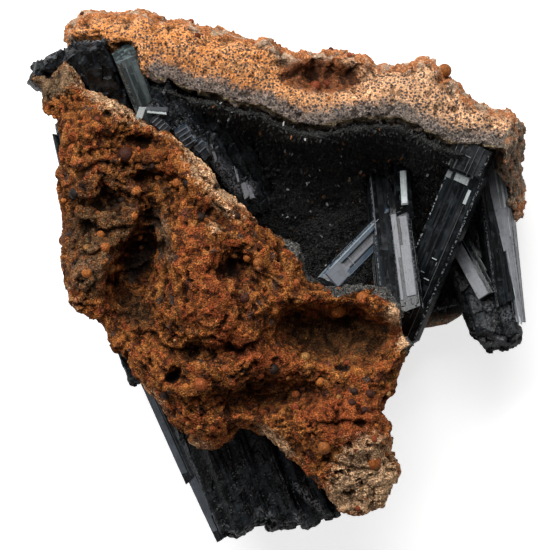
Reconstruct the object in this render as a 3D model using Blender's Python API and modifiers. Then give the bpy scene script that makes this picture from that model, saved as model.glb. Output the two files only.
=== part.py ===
"""Vivianite crystals in a split block of oolitic limonite, lying on its back.

The rock is two pieces. The back wall is a block with a deep hollow, and the front slab leans
over the hollow's lower left. A dark vivianite crust lines the hollow, and single crystals and
bundles reach from one piece of rock to the other, each seated in a socket of its own.

Frame: the origin is on the flat face that the block rests on, +Z is up, and +Y points to the
back wall's thick rim. Lengths are written in millimetres, and MM turns them into metres.
"""

import math
from typing import NamedTuple

import bmesh
import bpy
import numpy as np
from mathutils import Matrix, Vector, noise

MM = 0.001

# Driving heights above the resting face.
WALL_TOP = 43.0  # broken face of the back wall's rim
HOLLOW_FLOOR = 12.0  # rock under the middle of the hollow
SLAB_TOP = 46.0  # front slab's general level, before its ridges and hollows
SLAB_UNDERSIDE = 31.0
CRUST_THICKNESS = 2.2

# How far inside its rim the hollow falls by two thirds of its depth.
RIM_REACH = 9.0
SIDE_REACH = 2.0

# Fits between neighbours.
SOCKET_GAP = 0.35  # round a crystal in its rock
CRUST_GAP = 0.5  # between the crust and the hollow's rock

# Meshing.
ROCK_CELL = 1.5
CRUST_CELL = 1.3
ROCK_BLOCK = 12.0  # height of a rock's blank, before its relief is given to it
CRUST_BLOCK = 3.9
WALL_TRIANGLES = 2300
SLAB_TRIANGLES = 2700
CRUST_TRIANGLES = 1000

# Rounding of a rock's outer edges, above and below.
EDGE_DROP = 4.0
EDGE_REACH = 6.0
UNDER_DROP = 9.0
UNDER_REACH = 12.0

FRONT_OUTLINE = [
    (-56.0, 43.9), (-54.9, 45.5), (-51.1, 45.9), (-48.6, 46.6), (-48.1, 48.4), (-46.8, 48.4),
    (-45.0, 46.8), (-42.5, 43.4), (-39.4, 40.1), (-35.6, 38.0), (-31.7, 36.0), (-28.1, 33.1),
    (-24.8, 31.1), (-21.6, 30.6), (-19.1, 28.1), (-15.3, 25.2), (-13.5, 22.3), (-11.9, 18.2),
    (-7.2, 15.8), (-3.8, 12.4), (0.0, 9.7), (4.0, 7.0), (6.3, 4.3), (7.9, -0.7), (11.0, -1.1),
    (13.7, -4.0), (16.9, -2.9), (20.5, -2.5), (23.6, -3.1), (26.6, -5.0), (28.4, -6.8),
    (29.0, -11.2), (31.7, -15.1), (30.4, -17.8), (28.8, -22.1), (27.2, -25.4), (23.4, -28.6),
    (24.3, -32.2), (27.0, -37.1), (26.1, -39.4), (28.1, -43.2), (26.3, -47.9), (25.4, -50.4),
    (21.8, -52.9), (17.3, -53.8), (12.8, -51.3), (10.1, -48.1), (7.4, -45.5), (5.2, -41.9),
    (1.6, -39.1), (-1.6, -36.5), (-4.7, -34.4), (-8.3, -34.4), (-10.3, -37.1), (-13.5, -39.1),
    (-17.1, -39.1), (-20.0, -35.8), (-24.5, -30.8), (-28.6, -26.3), (-32.2, -22.9), (-33.1, -18.7),
    (-36.7, -16.0), (-38.5, -11.9), (-40.3, -10.1), (-44.1, -7.9), (-46.4, -4.7), (-47.0, -0.7),
    (-47.9, 2.9), (-47.0, 5.0), (-48.1, 7.7), (-46.6, 11.0), (-47.9, 15.8), (-47.9, 19.1),
    (-48.8, 22.1), (-48.4, 25.9), (-48.4, 34.6), (-52.4, 37.1), (-53.8, 40.5),
]

WALL_OUTLINE = [
    (-46.8, 52.4), (-46.8, 54.7), (-44.6, 57.6), (-42.5, 58.3), (-41.4, 60.1), (-38.2, 59.6),
    (-32.6, 59.0), (-28.1, 59.0), (-25.9, 57.4), (-20.9, 58.1), (-16.9, 55.8), (-11.9, 54.9),
    (-6.1, 53.6), (-1.1, 52.4), (0.5, 50.6), (5.0, 49.7), (10.1, 50.2), (16.2, 50.6),
    (19.8, 49.1), (22.9, 47.2), (30.4, 47.2), (33.5, 48.6), (36.7, 47.7), (38.2, 45.2),
    (37.8, 44.1), (41.2, 42.3), (44.1, 39.4), (47.9, 37.4), (53.8, 36.9), (55.6, 33.8),
    (56.0, 25.9), (56.5, 17.3), (55.8, 13.7), (53.6, 11.7), (50.6, 7.9), (47.9, -1.1),
    (43.2, -9.9), (38.2, -10.8), (32.2, -12.6), (27.2, -19.1), (16.9, -25.9), (3.4, -29.2),
    (-12.4, -28.1), (-24.8, -21.4), (-34.4, -11.2), (-40.3, -1.1), (-42.1, 12.4), (-42.1, 28.1),
    (-43.0, 37.1), (-46.1, 46.1),
]

# The sharp edge where the back wall's broken face meets the hollow, from left to right.
RIM = [
    (-48.4, 53.8), (-37.8, 53.8), (-36.7, 51.3), (-32.0, 51.3), (-28.1, 44.6), (-23.2, 43.2),
    (-19.1, 41.2), (-12.8, 40.1), (-7.9, 38.2), (-2.9, 37.8), (1.6, 35.1), (6.8, 33.3),
    (10.6, 33.3), (15.8, 34.4), (21.4, 35.1), (27.7, 35.1), (31.5, 33.3), (37.1, 30.4),
    (41.6, 29.0),
]

# The rim goes on down the right side, where the hollow's wall is steep.
SIDE_RIM = [
    (41.6, 29.0), (47.2, 29.0), (50.6, 28.1), (51.3, 24.0), (52.9, 19.1), (53.6, 15.8),
    (53.8, 11.5), (58.0, 8.0),
]

# With the rim, goes right round the hollow, well clear of the rock's outline.
HOLLOW_CLOSING = [(70.0, -60.0), (-70.0, -60.0), (-70.0, 53.8)]

CRUST_OUTLINE = [
    (-27.2, 43.0), (-23.2, 42.0), (-19.1, 40.0), (-12.8, 38.9), (-7.9, 37.0), (-2.9, 36.6),
    (1.6, 33.9), (6.8, 32.1), (10.6, 32.1), (15.8, 33.2), (21.4, 33.9), (27.7, 33.9),
    (31.5, 32.1), (37.1, 29.2), (41.2, 27.6), (45.2, 26.6), (47.4, 22.0), (48.2, 15.8),
    (48.0, 8.8), (46.0, -0.2), (43.6, -6.4), (38.2, -8.2), (32.6, -10.2), (23.6, -10.7),
    (12.4, -9.3), (3.5, -4.4), (-4.9, 4.6), (-12.1, 10.9), (-17.8, 18.1), (-23.4, 24.9),
    (-27.9, 31.6), (-29.5, 38.4),
]


class Landform(NamedTuple):
    """A rise, or a hollow if its height is negative, in a rock's upper face."""

    x: float
    y: float
    reach: float  # half its length along its heading
    across: float  # half its width
    heading: float  # degrees from +X
    height: float
    flatness: float = 1.0  # 1 is a soft mound, 2 and more has a flat top and steep sides


SLAB_LANDFORMS = [
    Landform(-13.5, -2.0, 21.0, 11.5, -68, 9.0, 1.4),  # main ridge
    Landform(-30.6, 2.6, 7.5, 5.0, 58, -14.0, 2.0),  # deep pocket west of the ridge
    Landform(-33.5, -7.5, 8.0, 5.0, -50, -6.5),
    Landform(-26.5, 13.5, 5.5, 3.6, 70, -7.0, 1.5),
    Landform(-40.8, 2.0, 7.0, 5.5, 70, 4.0, 2.0),  # block left of the pocket
    Landform(-53.5, 42.0, 11.0, 8.0, 30, -6.0),  # thin upper tip
    Landform(-41.0, 27.0, 9.0, 7.0, 0, 3.0, 1.5),
    Landform(-32.6, 30.0, 8.0, 1.9, -4, -5.0, 2.0),  # undercut ledges
    Landform(-28.6, 21.6, 5.5, 1.7, 0, -4.5, 2.0),
    Landform(-36.5, 17.0, 9.0, 1.8, 4, -3.0, 1.5),
    Landform(-17.5, 23.5, 9.0, 4.0, -52, 3.5, 1.5),  # raised inner edge
    Landform(-9.0, 1.8, 4.4, 3.8, 40, -6.0, 2.0),
    Landform(-12.0, 12.5, 6.0, 1.8, -12, -3.0, 1.5),
    Landform(13.5, -13.0, 15.0, 6.0, -2, -9.5, 2.0),  # wide recess under the inner edge
    Landform(18.0, -5.6, 12.0, 2.4, -4, 2.5, 1.5),
    Landform(-2.5, -27.5, 15.0, 3.2, 8, -7.0, 1.5),  # cleft across the lower part
    Landform(-13.5, -16.6, 7.5, 1.9, 0, -4.5, 1.5),
    Landform(-20.5, -25.0, 8.0, 6.5, -45, 3.0, 1.5),
    Landform(-23.0, -22.3, 1.8, 1.8, 0, -4.0, 2.0),
    Landform(15.5, -33.5, 10.0, 8.0, 0, 5.0, 1.3),  # lower bulge
    Landform(19.0, -49.5, 9.0, 5.0, 15, -5.0),
    Landform(-12.0, -36.0, 9.0, 4.0, 0, -2.5),
]

WALL_LANDFORMS = [
    Landform(14.0, 44.5, 7.0, 3.2, -8, -5.0, 1.8),  # pit in the broken face
    Landform(-12.0, 52.8, 4.0, 1.6, -8, -2.0, 1.5),
    Landform(-1.6, 50.4, 2.6, 2.6, 0, 2.0, 1.5),
    Landform(34.5, 46.6, 4.5, 2.8, 0, 3.0, 1.5),  # knob on the outer edge
    Landform(26.0, 45.6, 12.0, 2.0, 0, -1.6),
    Landform(-36.0, 58.0, 9.0, 3.0, 0, -2.0),
    Landform(61.0, 12.0, 8.8, 20.0, 0, -13.0, 3.0),  # side face, falling to the right
]

HOLLOW_LANDFORMS = [
    Landform(36.0, -10.0, 9.0, 3.0, 12, 4.0, 1.5),  # low lip at the open end
    Landform(-24.0, -12.0, 17.0, 9.0, -35, 9.0, 1.5),  # floor rising to the lower crystals
]


class Crystal(NamedTuple):
    """One flattened prism with chamfered edges, from its root to its tip."""

    root: tuple
    tip: tuple
    width: float
    depth: float
    lean: float = 0.0  # degrees that the broad face turns about the crystal's own axis
    chamfer: float = 0.28  # share of the smaller of width and depth
    taper: float = 0.9  # the tip's size against the root's
    tip_slopes: tuple = ((35, 0), (0, 25))  # how far each end face tilts: across, and through
    root_slopes: tuple = ()


LONG_CRYSTAL = [
    Crystal((44.8, 24.1, 33.6), (27.9, -15.8, 25.5), 7.9, 6.6, 12, 0.26, 0.96, ((30, 0), (-35, 20))),
    Crystal((47.2, 33.5, 36.0), (42.8, 20.0, 33.0), 6.5, 6.0, 16, 0.28, 1.0, ((12, 30),)),
]

# Three upright prisms, and one that slants away behind them.
MIDDLE_CRYSTALS = [
    Crystal((23.0, 25.4, 17.2), (25.7, -7.0, 37.2), 5.0, 5.4, -14, 0.16, 1.0, ((-20, 12),)),
    Crystal((28.2, 29.0, 21.6), (28.5, 15.3, 31.5), 4.0, 5.4, 8, 0.3, 0.95, ((12, 30),)),
    Crystal((28.0, 17.8, 26.0), (30.8, -7.7, 40.5), 4.5, 5.0, 12, 0.16, 1.0, ((24, 8),)),
    Crystal((26.3, 13.1, 24.4), (11.1, -2.4, 33.0), 5.4, 4.6, -10, 0.34, 0.96, ((24, 10),)),
]

RIGHT_CRYSTALS = [
    Crystal((46.8, 29.0, 25.2), (53.6, -17.1, 25.4), 5.6, 7.8, -12, 0.26, 1.05, ((18, 20), (-30, -20))),
    Crystal((49.7, 29.7, 26.4), (55.8, -13.7, 27.8), 3.4, 6.2, 16, 0.2, 1.05, ((-14, 20),)),
    Crystal((37.1, 13.7, 17.2), (48.1, -7.0, 26.4), 4.5, 6.4, 14, 0.2, 1.0, ((-25, 18),)),
    Crystal((42.1, 2.9, 20.0), (47.2, -16.0, 23.4), 5.6, 7.6, 0, 0.34, 0.9, ((30, 30), (-30, 10))),
]

CORNER_CRYSTALS = [
    Crystal((-31.3, 27.7, 21.0), (-41.0, 53.1, 33.4), 4.7, 15.0, -6, 0.16, 1.0, ((-22, 8),)),
    Crystal((-35.3, 27.7, 22.0), (-45.0, 52.9, 34.2), 4.7, 14.0, 8, 0.2, 1.0, ((-18, 14),)),
    Crystal((-39.4, 37.1, 26.0), (-53.6, 46.8, 33.2), 5.0, 8.0, 16, 0.26, 0.85, ((24, 20),)),
    Crystal((-39.8, 42.1, 29.0), (-50.6, 50.4, 34.4), 3.4, 5.6, -10, 0.3, 0.85, ((-20, 24),)),
]

GREEN_CRYSTAL = [
    Crystal((-25.9, 29.5, 28.5), (-34.3, 51.1, 42.4), 5.0, 5.0, 4, 0.22, 0.98, ((10, 24),)),
]

LEDGE_CRYSTALS = [
    Crystal((-4.0, 14.2, 20.5), (-19.1, 42.5, 34.0), 5.9, 10.0, -8, 0.2, 1.0, ((16, 12),)),
    Crystal((-7.4, 11.9, 21.5), (-22.7, 43.0, 36.0), 5.4, 10.0, 6, 0.16, 1.0, ((-14, 20),)),
    Crystal((-2.2, 18.0, 19.4), (-14.4, 40.7, 30.5), 5.0, 10.0, 12, 0.2, 1.0, ((20, 10),)),
    Crystal((-14.2, 19.1, 27.5), (-26.3, 44.3, 38.6), 5.4, 8.0, -12, 0.24, 0.95, ((24, 14),)),
    Crystal((-4.5, 14.2, 31.0), (-15.3, 30.6, 38.2), 3.4, 6.0, -18, 0.3, 0.8, ((-30, 18),)),
    Crystal((-15.1, 25.9, 35.0), (-20.9, 33.8, 40.6), 4.3, 5.0, -24, 0.2, 0.95, ((10, 30),)),
    Crystal((-20.0, 32.6, 34.0), (-27.7, 37.6, 41.0), 3.6, 4.6, -20, 0.18, 0.9, ((0, 24),)),
    Crystal((-2.9, 15.5, 28.0), (-6.5, 20.9, 35.0), 2.9, 3.4, 16, 0.15, 0.95, ((0, 20),)),
]

# Side by side from left to right, all pointing down to the right.
LOWER_CRYSTALS = [
    Crystal((-34.9, -12.4, 25.5), (-30.4, -26.3, 23.5), 3.4, 7.0, 20, 0.2, 0.9, ((20, 10),)),
    Crystal((-33.8, -10.6, 24.5), (-12.2, -59.2, 19.0), 3.8, 10.0, 32, 0.2, 1.0, ((20, 10),)),
    Crystal((-31.9, -11.2, 26.0), (-16.7, -46.6, 22.6), 3.4, 9.0, 20, 0.2, 1.0, ((-28, 10),)),
    Crystal((-29.2, -9.0, 26.0), (-9.5, -60.1, 20.5), 4.3, 12.0, 12, 0.2, 1.0, ((-20, 20),)),
    Crystal((-25.9, -7.9, 26.0), (-6.3, -59.4, 21.2), 5.0, 14.0, -4, 0.16, 1.0, ((16, 14),)),
    Crystal((-21.8, -7.9, 26.0), (-2.5, -57.8, 20.4), 5.4, 14.0, 6, 0.2, 1.0, ((-16, 18),)),
    Crystal((-17.8, -7.9, 25.5), (1.4, -59.6, 19.4), 4.7, 13.0, -8, 0.2, 1.0, ((12, 30),)),
    Crystal((-14.0, -7.9, 26.0), (5.4, -58.3, 20.0), 5.2, 13.0, 14, 0.2, 1.0, ((-22, 20),)),
    Crystal((-9.9, -9.0, 25.5), (9.0, -58.3, 18.6), 4.5, 12.0, -10, 0.22, 0.95, ((18, 16),)),
    Crystal((-5.6, -12.4, 25.5), (12.4, -56.5, 19.0), 4.5, 11.0, 10, 0.22, 0.9, ((-26, 22),)),
    Crystal((0.0, -19.1, 25.5), (15.8, -55.1, 19.6), 3.4, 9.0, -6, 0.2, 0.9, ((18, 20),)),
    Crystal((5.6, -37.1, 27.0), (16.9, -53.3, 24.6), 2.2, 6.0, 24, 0.2, 0.9, ((18, 20),)),
]

EDGE_SPLINTER = [
    Crystal((-45.7, 22.3, 33.0), (-49.1, 34.2, 34.5), 1.8, 4.0, 10, 0.25, 0.5, ((24, 0),)),
    Crystal((-46.4, 20.0, 32.5), (-49.6, 31.7, 33.0), 1.8, 3.6, -12, 0.25, 0.5, ((-24, 0),)),
]

BUNDLES = {
    "long_crystal": LONG_CRYSTAL,
    "middle_crystals": MIDDLE_CRYSTALS,
    "right_crystals": RIGHT_CRYSTALS,
    "corner_crystals": CORNER_CRYSTALS,
    "green_crystal": GREEN_CRYSTAL,
    "ledge_crystals": LEDGE_CRYSTALS,
    "lower_crystals": LOWER_CRYSTALS,
    "edge_splinter": EDGE_SPLINTER,
}

# Colour, roughness and metallic value of each kind of surface.
LIMONITE = ("limonite", (0.30, 0.14, 0.06), 0.9, 0.0)
SPECKLED_LIMONITE = ("speckled_limonite", (0.42, 0.22, 0.10), 0.88, 0.0)
DARK_CRUST = ("dark_crust", (0.012, 0.012, 0.012), 0.45, 0.0)
VIVIANITE = ("vivianite", (0.02, 0.028, 0.03), 0.16, 0.0)
GREEN_VIVIANITE = ("green_vivianite", (0.045, 0.06, 0.056), 0.24, 0.0)


def clear_scene():
    """Removes every object that the scene starts with."""
    for obj in list(bpy.data.objects):
        bpy.data.objects.remove(obj, do_unlink=True)


def new_collection(name, hidden):
    """A collection under the scene's own, left out of the render if hidden."""
    made = bpy.data.collections.new(name)
    made.hide_render = hidden
    bpy.context.scene.collection.children.link(made)
    return made


def new_material(name, colour, roughness, metallic):
    """A plain Principled material."""
    material = bpy.data.materials.new(name)
    material.use_nodes = True
    shader = material.node_tree.nodes["Principled BSDF"]
    shader.inputs["Base Color"].default_value = (*colour, 1.0)
    shader.inputs["Roughness"].default_value = roughness
    shader.inputs["Metallic"].default_value = metallic
    return material


def read_points(mesh):
    """The mesh's vertices as an array, in millimetres."""
    points = np.empty(len(mesh.vertices) * 3)
    mesh.vertices.foreach_get("co", points)
    return points.reshape(-1, 3) / MM


def write_points(mesh, points):
    """Puts the mesh's vertices at points in millimetres."""
    mesh.vertices.foreach_set("co", (points * MM).ravel())
    mesh.update()


def distance_to(line, x, y):
    """How far each (x, y) is from a line through the given points."""
    nearest = np.full(x.shape, np.inf)
    for (ax, ay), (bx, by) in zip(line, line[1:]):
        dx, dy = bx - ax, by - ay
        along = ((x - ax) * dx + (y - ay) * dy) / (dx * dx + dy * dy)
        along = np.clip(along, 0.0, 1.0)
        nearest = np.minimum(nearest, np.hypot(x - ax - along * dx, y - ay - along * dy))
    return nearest


def inside(outline, x, y):
    """True for each (x, y) within a closed outline."""
    crossings = np.zeros(x.shape, dtype=int)
    for (ax, ay), (bx, by) in zip(outline, outline[1:] + outline[:1]):
        spans = (ay > y) != (by > y)
        rise = by - ay if by != ay else 1.0
        crossings += spans & (x < ax + (y - ay) * (bx - ax) / rise)
    return crossings % 2 == 1


def in_hollow(x, y):
    """True for each (x, y) within the hollow's rim."""
    return inside(RIM + SIDE_RIM[1:] + HOLLOW_CLOSING, x, y)


def relief(landforms, x, y):
    """The sum of the landforms' heights at each (x, y)."""
    total = np.zeros(x.shape)
    for form in landforms:
        turn = math.radians(form.heading)
        u = (x - form.x) * math.cos(turn) + (y - form.y) * math.sin(turn)
        v = (y - form.y) * math.cos(turn) - (x - form.x) * math.sin(turn)
        square = (u / form.reach) ** 2 + (v / form.across) ** 2
        total += form.height * np.exp(-(square**form.flatness))
    return total


def rim_face(x, y):
    """Height of the back wall's broken face, and where it would be over the hollow."""
    return WALL_TOP + relief(WALL_LANDFORMS, x, y)


def hollow_height(x, y):
    """Height of the bare rock in the hollow, falling away from the rim."""
    near_rim = np.exp(-distance_to(RIM, x, y) / RIM_REACH)
    near_side = np.exp(-distance_to(SIDE_RIM, x, y) / SIDE_REACH)
    floor = HOLLOW_FLOOR + relief(HOLLOW_LANDFORMS, x, y)
    return floor + (rim_face(x, y) - floor) * np.maximum(near_rim, near_side)


def wall_top(x, y):
    """Height of the back wall's upper face: the broken rim, and the hollow inside it."""
    return np.where(in_hollow(x, y), hollow_height(x, y), rim_face(x, y))


def wall_bottom(x, y):
    """The back wall starts below the resting face, and is cut off flat there."""
    return np.full(x.shape, -2.0)


def slab_top(x, y):
    """Height of the front slab's upper face, never down to its underside."""
    return np.maximum(SLAB_TOP + relief(SLAB_LANDFORMS, x, y), slab_bottom(x, y) + 6.0)


def slab_bottom(x, y):
    """Height of the front slab's underside, higher over the hollow."""
    over_hollow = np.clip((y + x + 4.0) / 18.0, 0.0, 1.0)
    return SLAB_UNDERSIDE + 2.5 * over_hollow


def hollow_steepness(x, y):
    """Length of the hollow's slope against its length in plan."""
    step = 0.3
    along = (hollow_height(x + step, y) - hollow_height(x - step, y)) / (2 * step)
    across = (hollow_height(x, y + step) - hollow_height(x, y - step)) / (2 * step)
    return np.minimum(np.sqrt(1.0 + along**2 + across**2), 4.0)


def crust_bottom(x, y):
    """The crust lies just clear of the hollow's rock."""
    return hollow_height(x, y) + CRUST_GAP * hollow_steepness(x, y)


def crust_top(x, y):
    """The crust's drusy upper face, with a slow roll to it, ending just under the rim."""
    roll = 0.4 * np.sin(x / 3.1 + 0.6) * np.cos(y / 2.7)
    full = crust_bottom(x, y) + (CRUST_THICKNESS + roll) * hollow_steepness(x, y)
    return np.minimum(full, rim_face(x, y) - 0.5)


def outline_block(name, outline, height):
    """A closed block over an outline, from z = 0 up to height, as a mesh object."""
    curve = bpy.data.curves.new(name, "CURVE")
    curve.dimensions = "2D"
    curve.fill_mode = "BOTH"
    curve.extrude = height / 2 * MM
    spline = curve.splines.new("POLY")
    spline.points.add(len(outline) - 1)
    spline.use_cyclic_u = True
    for point, (x, y) in zip(spline.points, outline):
        point.co = (x * MM, y * MM, 0.0, 1.0)
    flat = bpy.data.objects.new(name + "_outline", curve)
    bpy.context.scene.collection.objects.link(flat)
    graph = bpy.context.evaluated_depsgraph_get()
    mesh = bpy.data.meshes.new_from_object(flat.evaluated_get(graph))
    bpy.data.objects.remove(flat, do_unlink=True)
    edit = bmesh.new()
    edit.from_mesh(mesh)
    bmesh.ops.remove_doubles(edit, verts=edit.verts, dist=0.01 * MM)
    bmesh.ops.translate(edit, verts=edit.verts, vec=(0.0, 0.0, height / 2 * MM))
    bmesh.ops.recalc_face_normals(edit, faces=edit.faces)
    edit.to_mesh(mesh)
    edit.free()
    return bpy.data.objects.new(name, mesh)


def bake(obj):
    """Replaces the object's mesh with what its modifiers make of it."""
    graph = bpy.context.evaluated_depsgraph_get()
    mesh = bpy.data.meshes.new_from_object(obj.evaluated_get(graph))
    obj.modifiers.clear()
    obj.data = mesh


def remesh(obj, cell):
    """Rebuilds the object's surface in even cells."""
    modifier = obj.modifiers.new("Cells", "REMESH")
    modifier.mode = "VOXEL"
    modifier.voxel_size = cell * MM
    bake(obj)


def roughen(mesh, amount, grain, seed, smooth):
    """Moves the surface in and out along its normals by noise, but not where it is smooth."""
    points = read_points(mesh)
    normals = np.empty(len(points) * 3)
    mesh.vertex_normals.foreach_get("vector", normals)
    offset = Vector((seed * 17.3, seed * 5.1, seed * 9.7))
    lift = [
        noise.fractal(Vector(p) / grain + offset, 0.9, 2.1, 3, noise_basis="PERLIN_ORIGINAL")
        for p in points
    ]
    lift = np.where(smooth(*points.T), 0.0, amount * np.array(lift))
    write_points(mesh, points + normals.reshape(-1, 3) * lift[:, None])


def wall_smooth(x, y, z):
    """The back wall is smooth in the hollow, where the crust lies on it."""
    return in_hollow(x, y) & (z > hollow_height(x, y) - 2.0)


def slab_smooth(x, y, z):
    """The front slab is rough all over."""
    return np.zeros(x.shape, dtype=bool)


def decimate(obj, triangles):
    """Leaves about this many triangles, the most where the surface bends most."""
    obj.data.calc_loop_triangles()
    modifier = obj.modifiers.new("Facets", "DECIMATE")
    modifier.ratio = min(1.0, triangles / len(obj.data.loop_triangles))


def rounding(gap, drop, reach):
    """How far a face draws back at a distance from its outline."""
    return drop * (1.0 - np.clip(gap / reach, 0.0, 1.0)) ** 2


def relief_solid(name, outline, block, cell, bottom, top, edge_drop, under_drop):
    """A solid over an outline, between two height functions, with its outer edges rounded."""
    obj = outline_block(name, outline, block)
    bpy.context.scene.collection.objects.link(obj)
    remesh(obj, cell)
    points = read_points(obj.data)
    x, y, z = points.T
    share = np.clip(z / block, 0.0, 1.0)
    gap = distance_to(outline + outline[:1], x, y)
    low = bottom(x, y) + rounding(gap, under_drop, UNDER_REACH)
    high = top(x, y) - rounding(gap, edge_drop, EDGE_REACH)
    points[:, 2] = low + share * (high - low)
    write_points(obj.data, points)
    return obj


def crystal_mesh(crystal, gap):
    """The crystal's mesh, with every face moved outwards by gap."""
    root, tip = Vector(crystal.root) * MM, Vector(crystal.tip) * MM
    axis = (tip - root).normalized()
    grow = gap * MM
    width, depth = crystal.width * MM + 2 * grow, crystal.depth * MM + 2 * grow
    length = (tip - root).length + 2 * grow
    chamfer = crystal.chamfer * min(crystal.width, crystal.depth) * MM + grow * (2 - math.sqrt(2))
    edit = bmesh.new()
    bmesh.ops.create_cube(edit, size=1.0)
    bmesh.ops.scale(edit, verts=edit.verts, vec=(width, depth, length))
    long_edges = [e for e in edit.edges if abs((e.verts[0].co - e.verts[1].co).z) > length / 2]
    bmesh.ops.bevel(
        edit, geom=long_edges, offset=chamfer, segments=1, affect="EDGES", clamp_overlap=False
    )
    for vertex in edit.verts:
        if vertex.co.z > 0:
            vertex.co.x *= crystal.taper
            vertex.co.y *= crystal.taper
    ends = [(1, slopes) for slopes in crystal.tip_slopes]
    ends += [(-1, slopes) for slopes in crystal.root_slopes]
    for end, (across, through) in ends:
        slope = Vector((math.tan(math.radians(across)), math.tan(math.radians(through)), 1.0))
        slope.z *= end
        slope.normalize()
        corner = Vector((0.0, 0.0, end * (length / 2 - grow)))
        back = 0.12 * min(crystal.width, crystal.depth) * MM
        plane = corner - Vector((0.0, 0.0, end * back)) + slope * grow
        cut = bmesh.ops.bisect_plane(
            edit,
            geom=edit.verts[:] + edit.edges[:] + edit.faces[:],
            plane_co=plane,
            plane_no=slope,
            clear_outer=True,
        )
        rim = [g for g in cut["geom_cut"] if isinstance(g, bmesh.types.BMEdge)]
        bmesh.ops.edgeloop_fill(edit, edges=rim)
    bmesh.ops.recalc_face_normals(edit, faces=edit.faces)
    up = Vector((0.0, 0.0, 1.0))
    up = (up - axis * up.dot(axis)).normalized()
    face = Matrix.Rotation(math.radians(crystal.lean), 3, axis) @ up
    side = face.cross(axis)
    frame = Matrix((side, face, axis)).transposed().to_4x4()
    frame.translation = (root + tip) / 2
    bmesh.ops.transform(edit, matrix=frame, verts=edit.verts)
    mesh = bpy.data.meshes.new("crystal")
    edit.to_mesh(mesh)
    edit.free()
    return mesh


def helper(name, mesh, collection):
    """A hidden object that others are cut or joined with."""
    obj = bpy.data.objects.new(name, mesh)
    obj.hide_render = True
    obj.display_type = "WIRE"
    collection.objects.link(obj)
    return obj


def boolean(obj, operation, other):
    """Joins or cuts the object with another object, or with all of a collection."""
    modifier = obj.modifiers.new(operation.title(), "BOOLEAN")
    modifier.operation = operation
    modifier.solver = "EXACT"
    if isinstance(other, bpy.types.Collection):
        modifier.operand_type = "COLLECTION"
        modifier.collection = other
    else:
        modifier.object = other


def crystal_bundle(name, crystals, material, specimen, members, sockets):
    """Crystals grown into each other, as one object, and a socket's cutter for each crystal."""
    body = bpy.data.objects.new(name, crystal_mesh(crystals[0], 0.0))
    body.data.materials.append(material)
    specimen.objects.link(body)
    if len(crystals) > 1:
        grown = new_collection(name + "_members", hidden=True)
        members.children.link(grown)
        bpy.context.scene.collection.children.unlink(grown)
        for number, crystal in enumerate(crystals[1:], start=1):
            helper(f"{name}_member_{number}", crystal_mesh(crystal, 0.0), grown)
        boolean(body, "UNION", grown)
    for number, crystal in enumerate(crystals):
        helper(f"{name}_socket_{number}", crystal_mesh(crystal, SOCKET_GAP), sockets)


def drop_chips(obj):
    """Keeps the largest piece of a cut rock, without the chips left between two cuts."""
    bake(obj)
    edit = bmesh.new()
    edit.from_mesh(obj.data)
    left = set(edit.verts)
    pieces = []
    while left:
        piece, front = set(), [left.pop()]
        while front:
            vertex = front.pop()
            piece.add(vertex)
            near = [edge.other_vert(vertex) for edge in vertex.link_edges]
            front += [v for v in near if v in left]
            left.difference_update(near)
        pieces.append(piece)
    largest = max(pieces, key=len)
    for piece in pieces:
        if piece is not largest:
            bmesh.ops.delete(edit, geom=list(piece), context="VERTS")
    edit.to_mesh(obj.data)
    edit.free()


def ground_box(collection):
    """The space below the resting face, which cuts the back wall off flat."""
    edit = bmesh.new()
    bmesh.ops.create_cube(edit, size=1.0)
    bmesh.ops.scale(edit, verts=edit.verts, vec=(200 * MM, 200 * MM, 20 * MM))
    bmesh.ops.translate(edit, verts=edit.verts, vec=(0.0, 0.0, -10 * MM))
    mesh = bpy.data.meshes.new("ground")
    edit.to_mesh(mesh)
    edit.free()
    return helper("ground", mesh, collection)


def place(obj, specimen, material):
    """Moves an object into the specimen's collection and gives it its material."""
    bpy.context.scene.collection.objects.unlink(obj)
    specimen.objects.link(obj)
    obj.data.materials.clear()
    obj.data.materials.append(material)


def main():
    clear_scene()
    specimen = new_collection("vivianite_specimen", hidden=False)
    members = new_collection("crystal_members", hidden=True)
    sockets = new_collection("crystal_sockets", hidden=True)
    grounds = new_collection("grounds", hidden=True)
    limonite = new_material(*LIMONITE)
    speckled = new_material(*SPECKLED_LIMONITE)
    dark_crust = new_material(*DARK_CRUST)
    vivianite = new_material(*VIVIANITE)
    green = new_material(*GREEN_VIVIANITE)

    wall = relief_solid(
        "back_wall",
        WALL_OUTLINE,
        ROCK_BLOCK,
        ROCK_CELL,
        wall_bottom,
        wall_top,
        EDGE_DROP,
        UNDER_DROP,
    )
    roughen(wall.data, 1.7, 8.0, 1, wall_smooth)
    slab = relief_solid(
        "front_slab",
        FRONT_OUTLINE,
        ROCK_BLOCK,
        ROCK_CELL,
        slab_bottom,
        slab_top,
        EDGE_DROP,
        EDGE_DROP,
    )
    roughen(slab.data, 1.8, 6.0, 2, slab_smooth)
    crust = relief_solid(
        "druse_crust",
        CRUST_OUTLINE,
        CRUST_BLOCK,
        CRUST_CELL,
        crust_bottom,
        crust_top,
        0.0,
        0.0,
    )
    decimate(wall, WALL_TRIANGLES)
    decimate(slab, SLAB_TRIANGLES)
    decimate(crust, CRUST_TRIANGLES)
    place(wall, specimen, speckled)
    place(slab, specimen, limonite)
    place(crust, specimen, dark_crust)
    boolean(wall, "DIFFERENCE", ground_box(grounds))

    for name, crystals in BUNDLES.items():
        material = green if name == "green_crystal" else vivianite
        crystal_bundle(name, crystals, material, specimen, members, sockets)
    for rock in (wall, slab, crust):
        boolean(rock, "DIFFERENCE", sockets)
        drop_chips(rock)


main()
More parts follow.
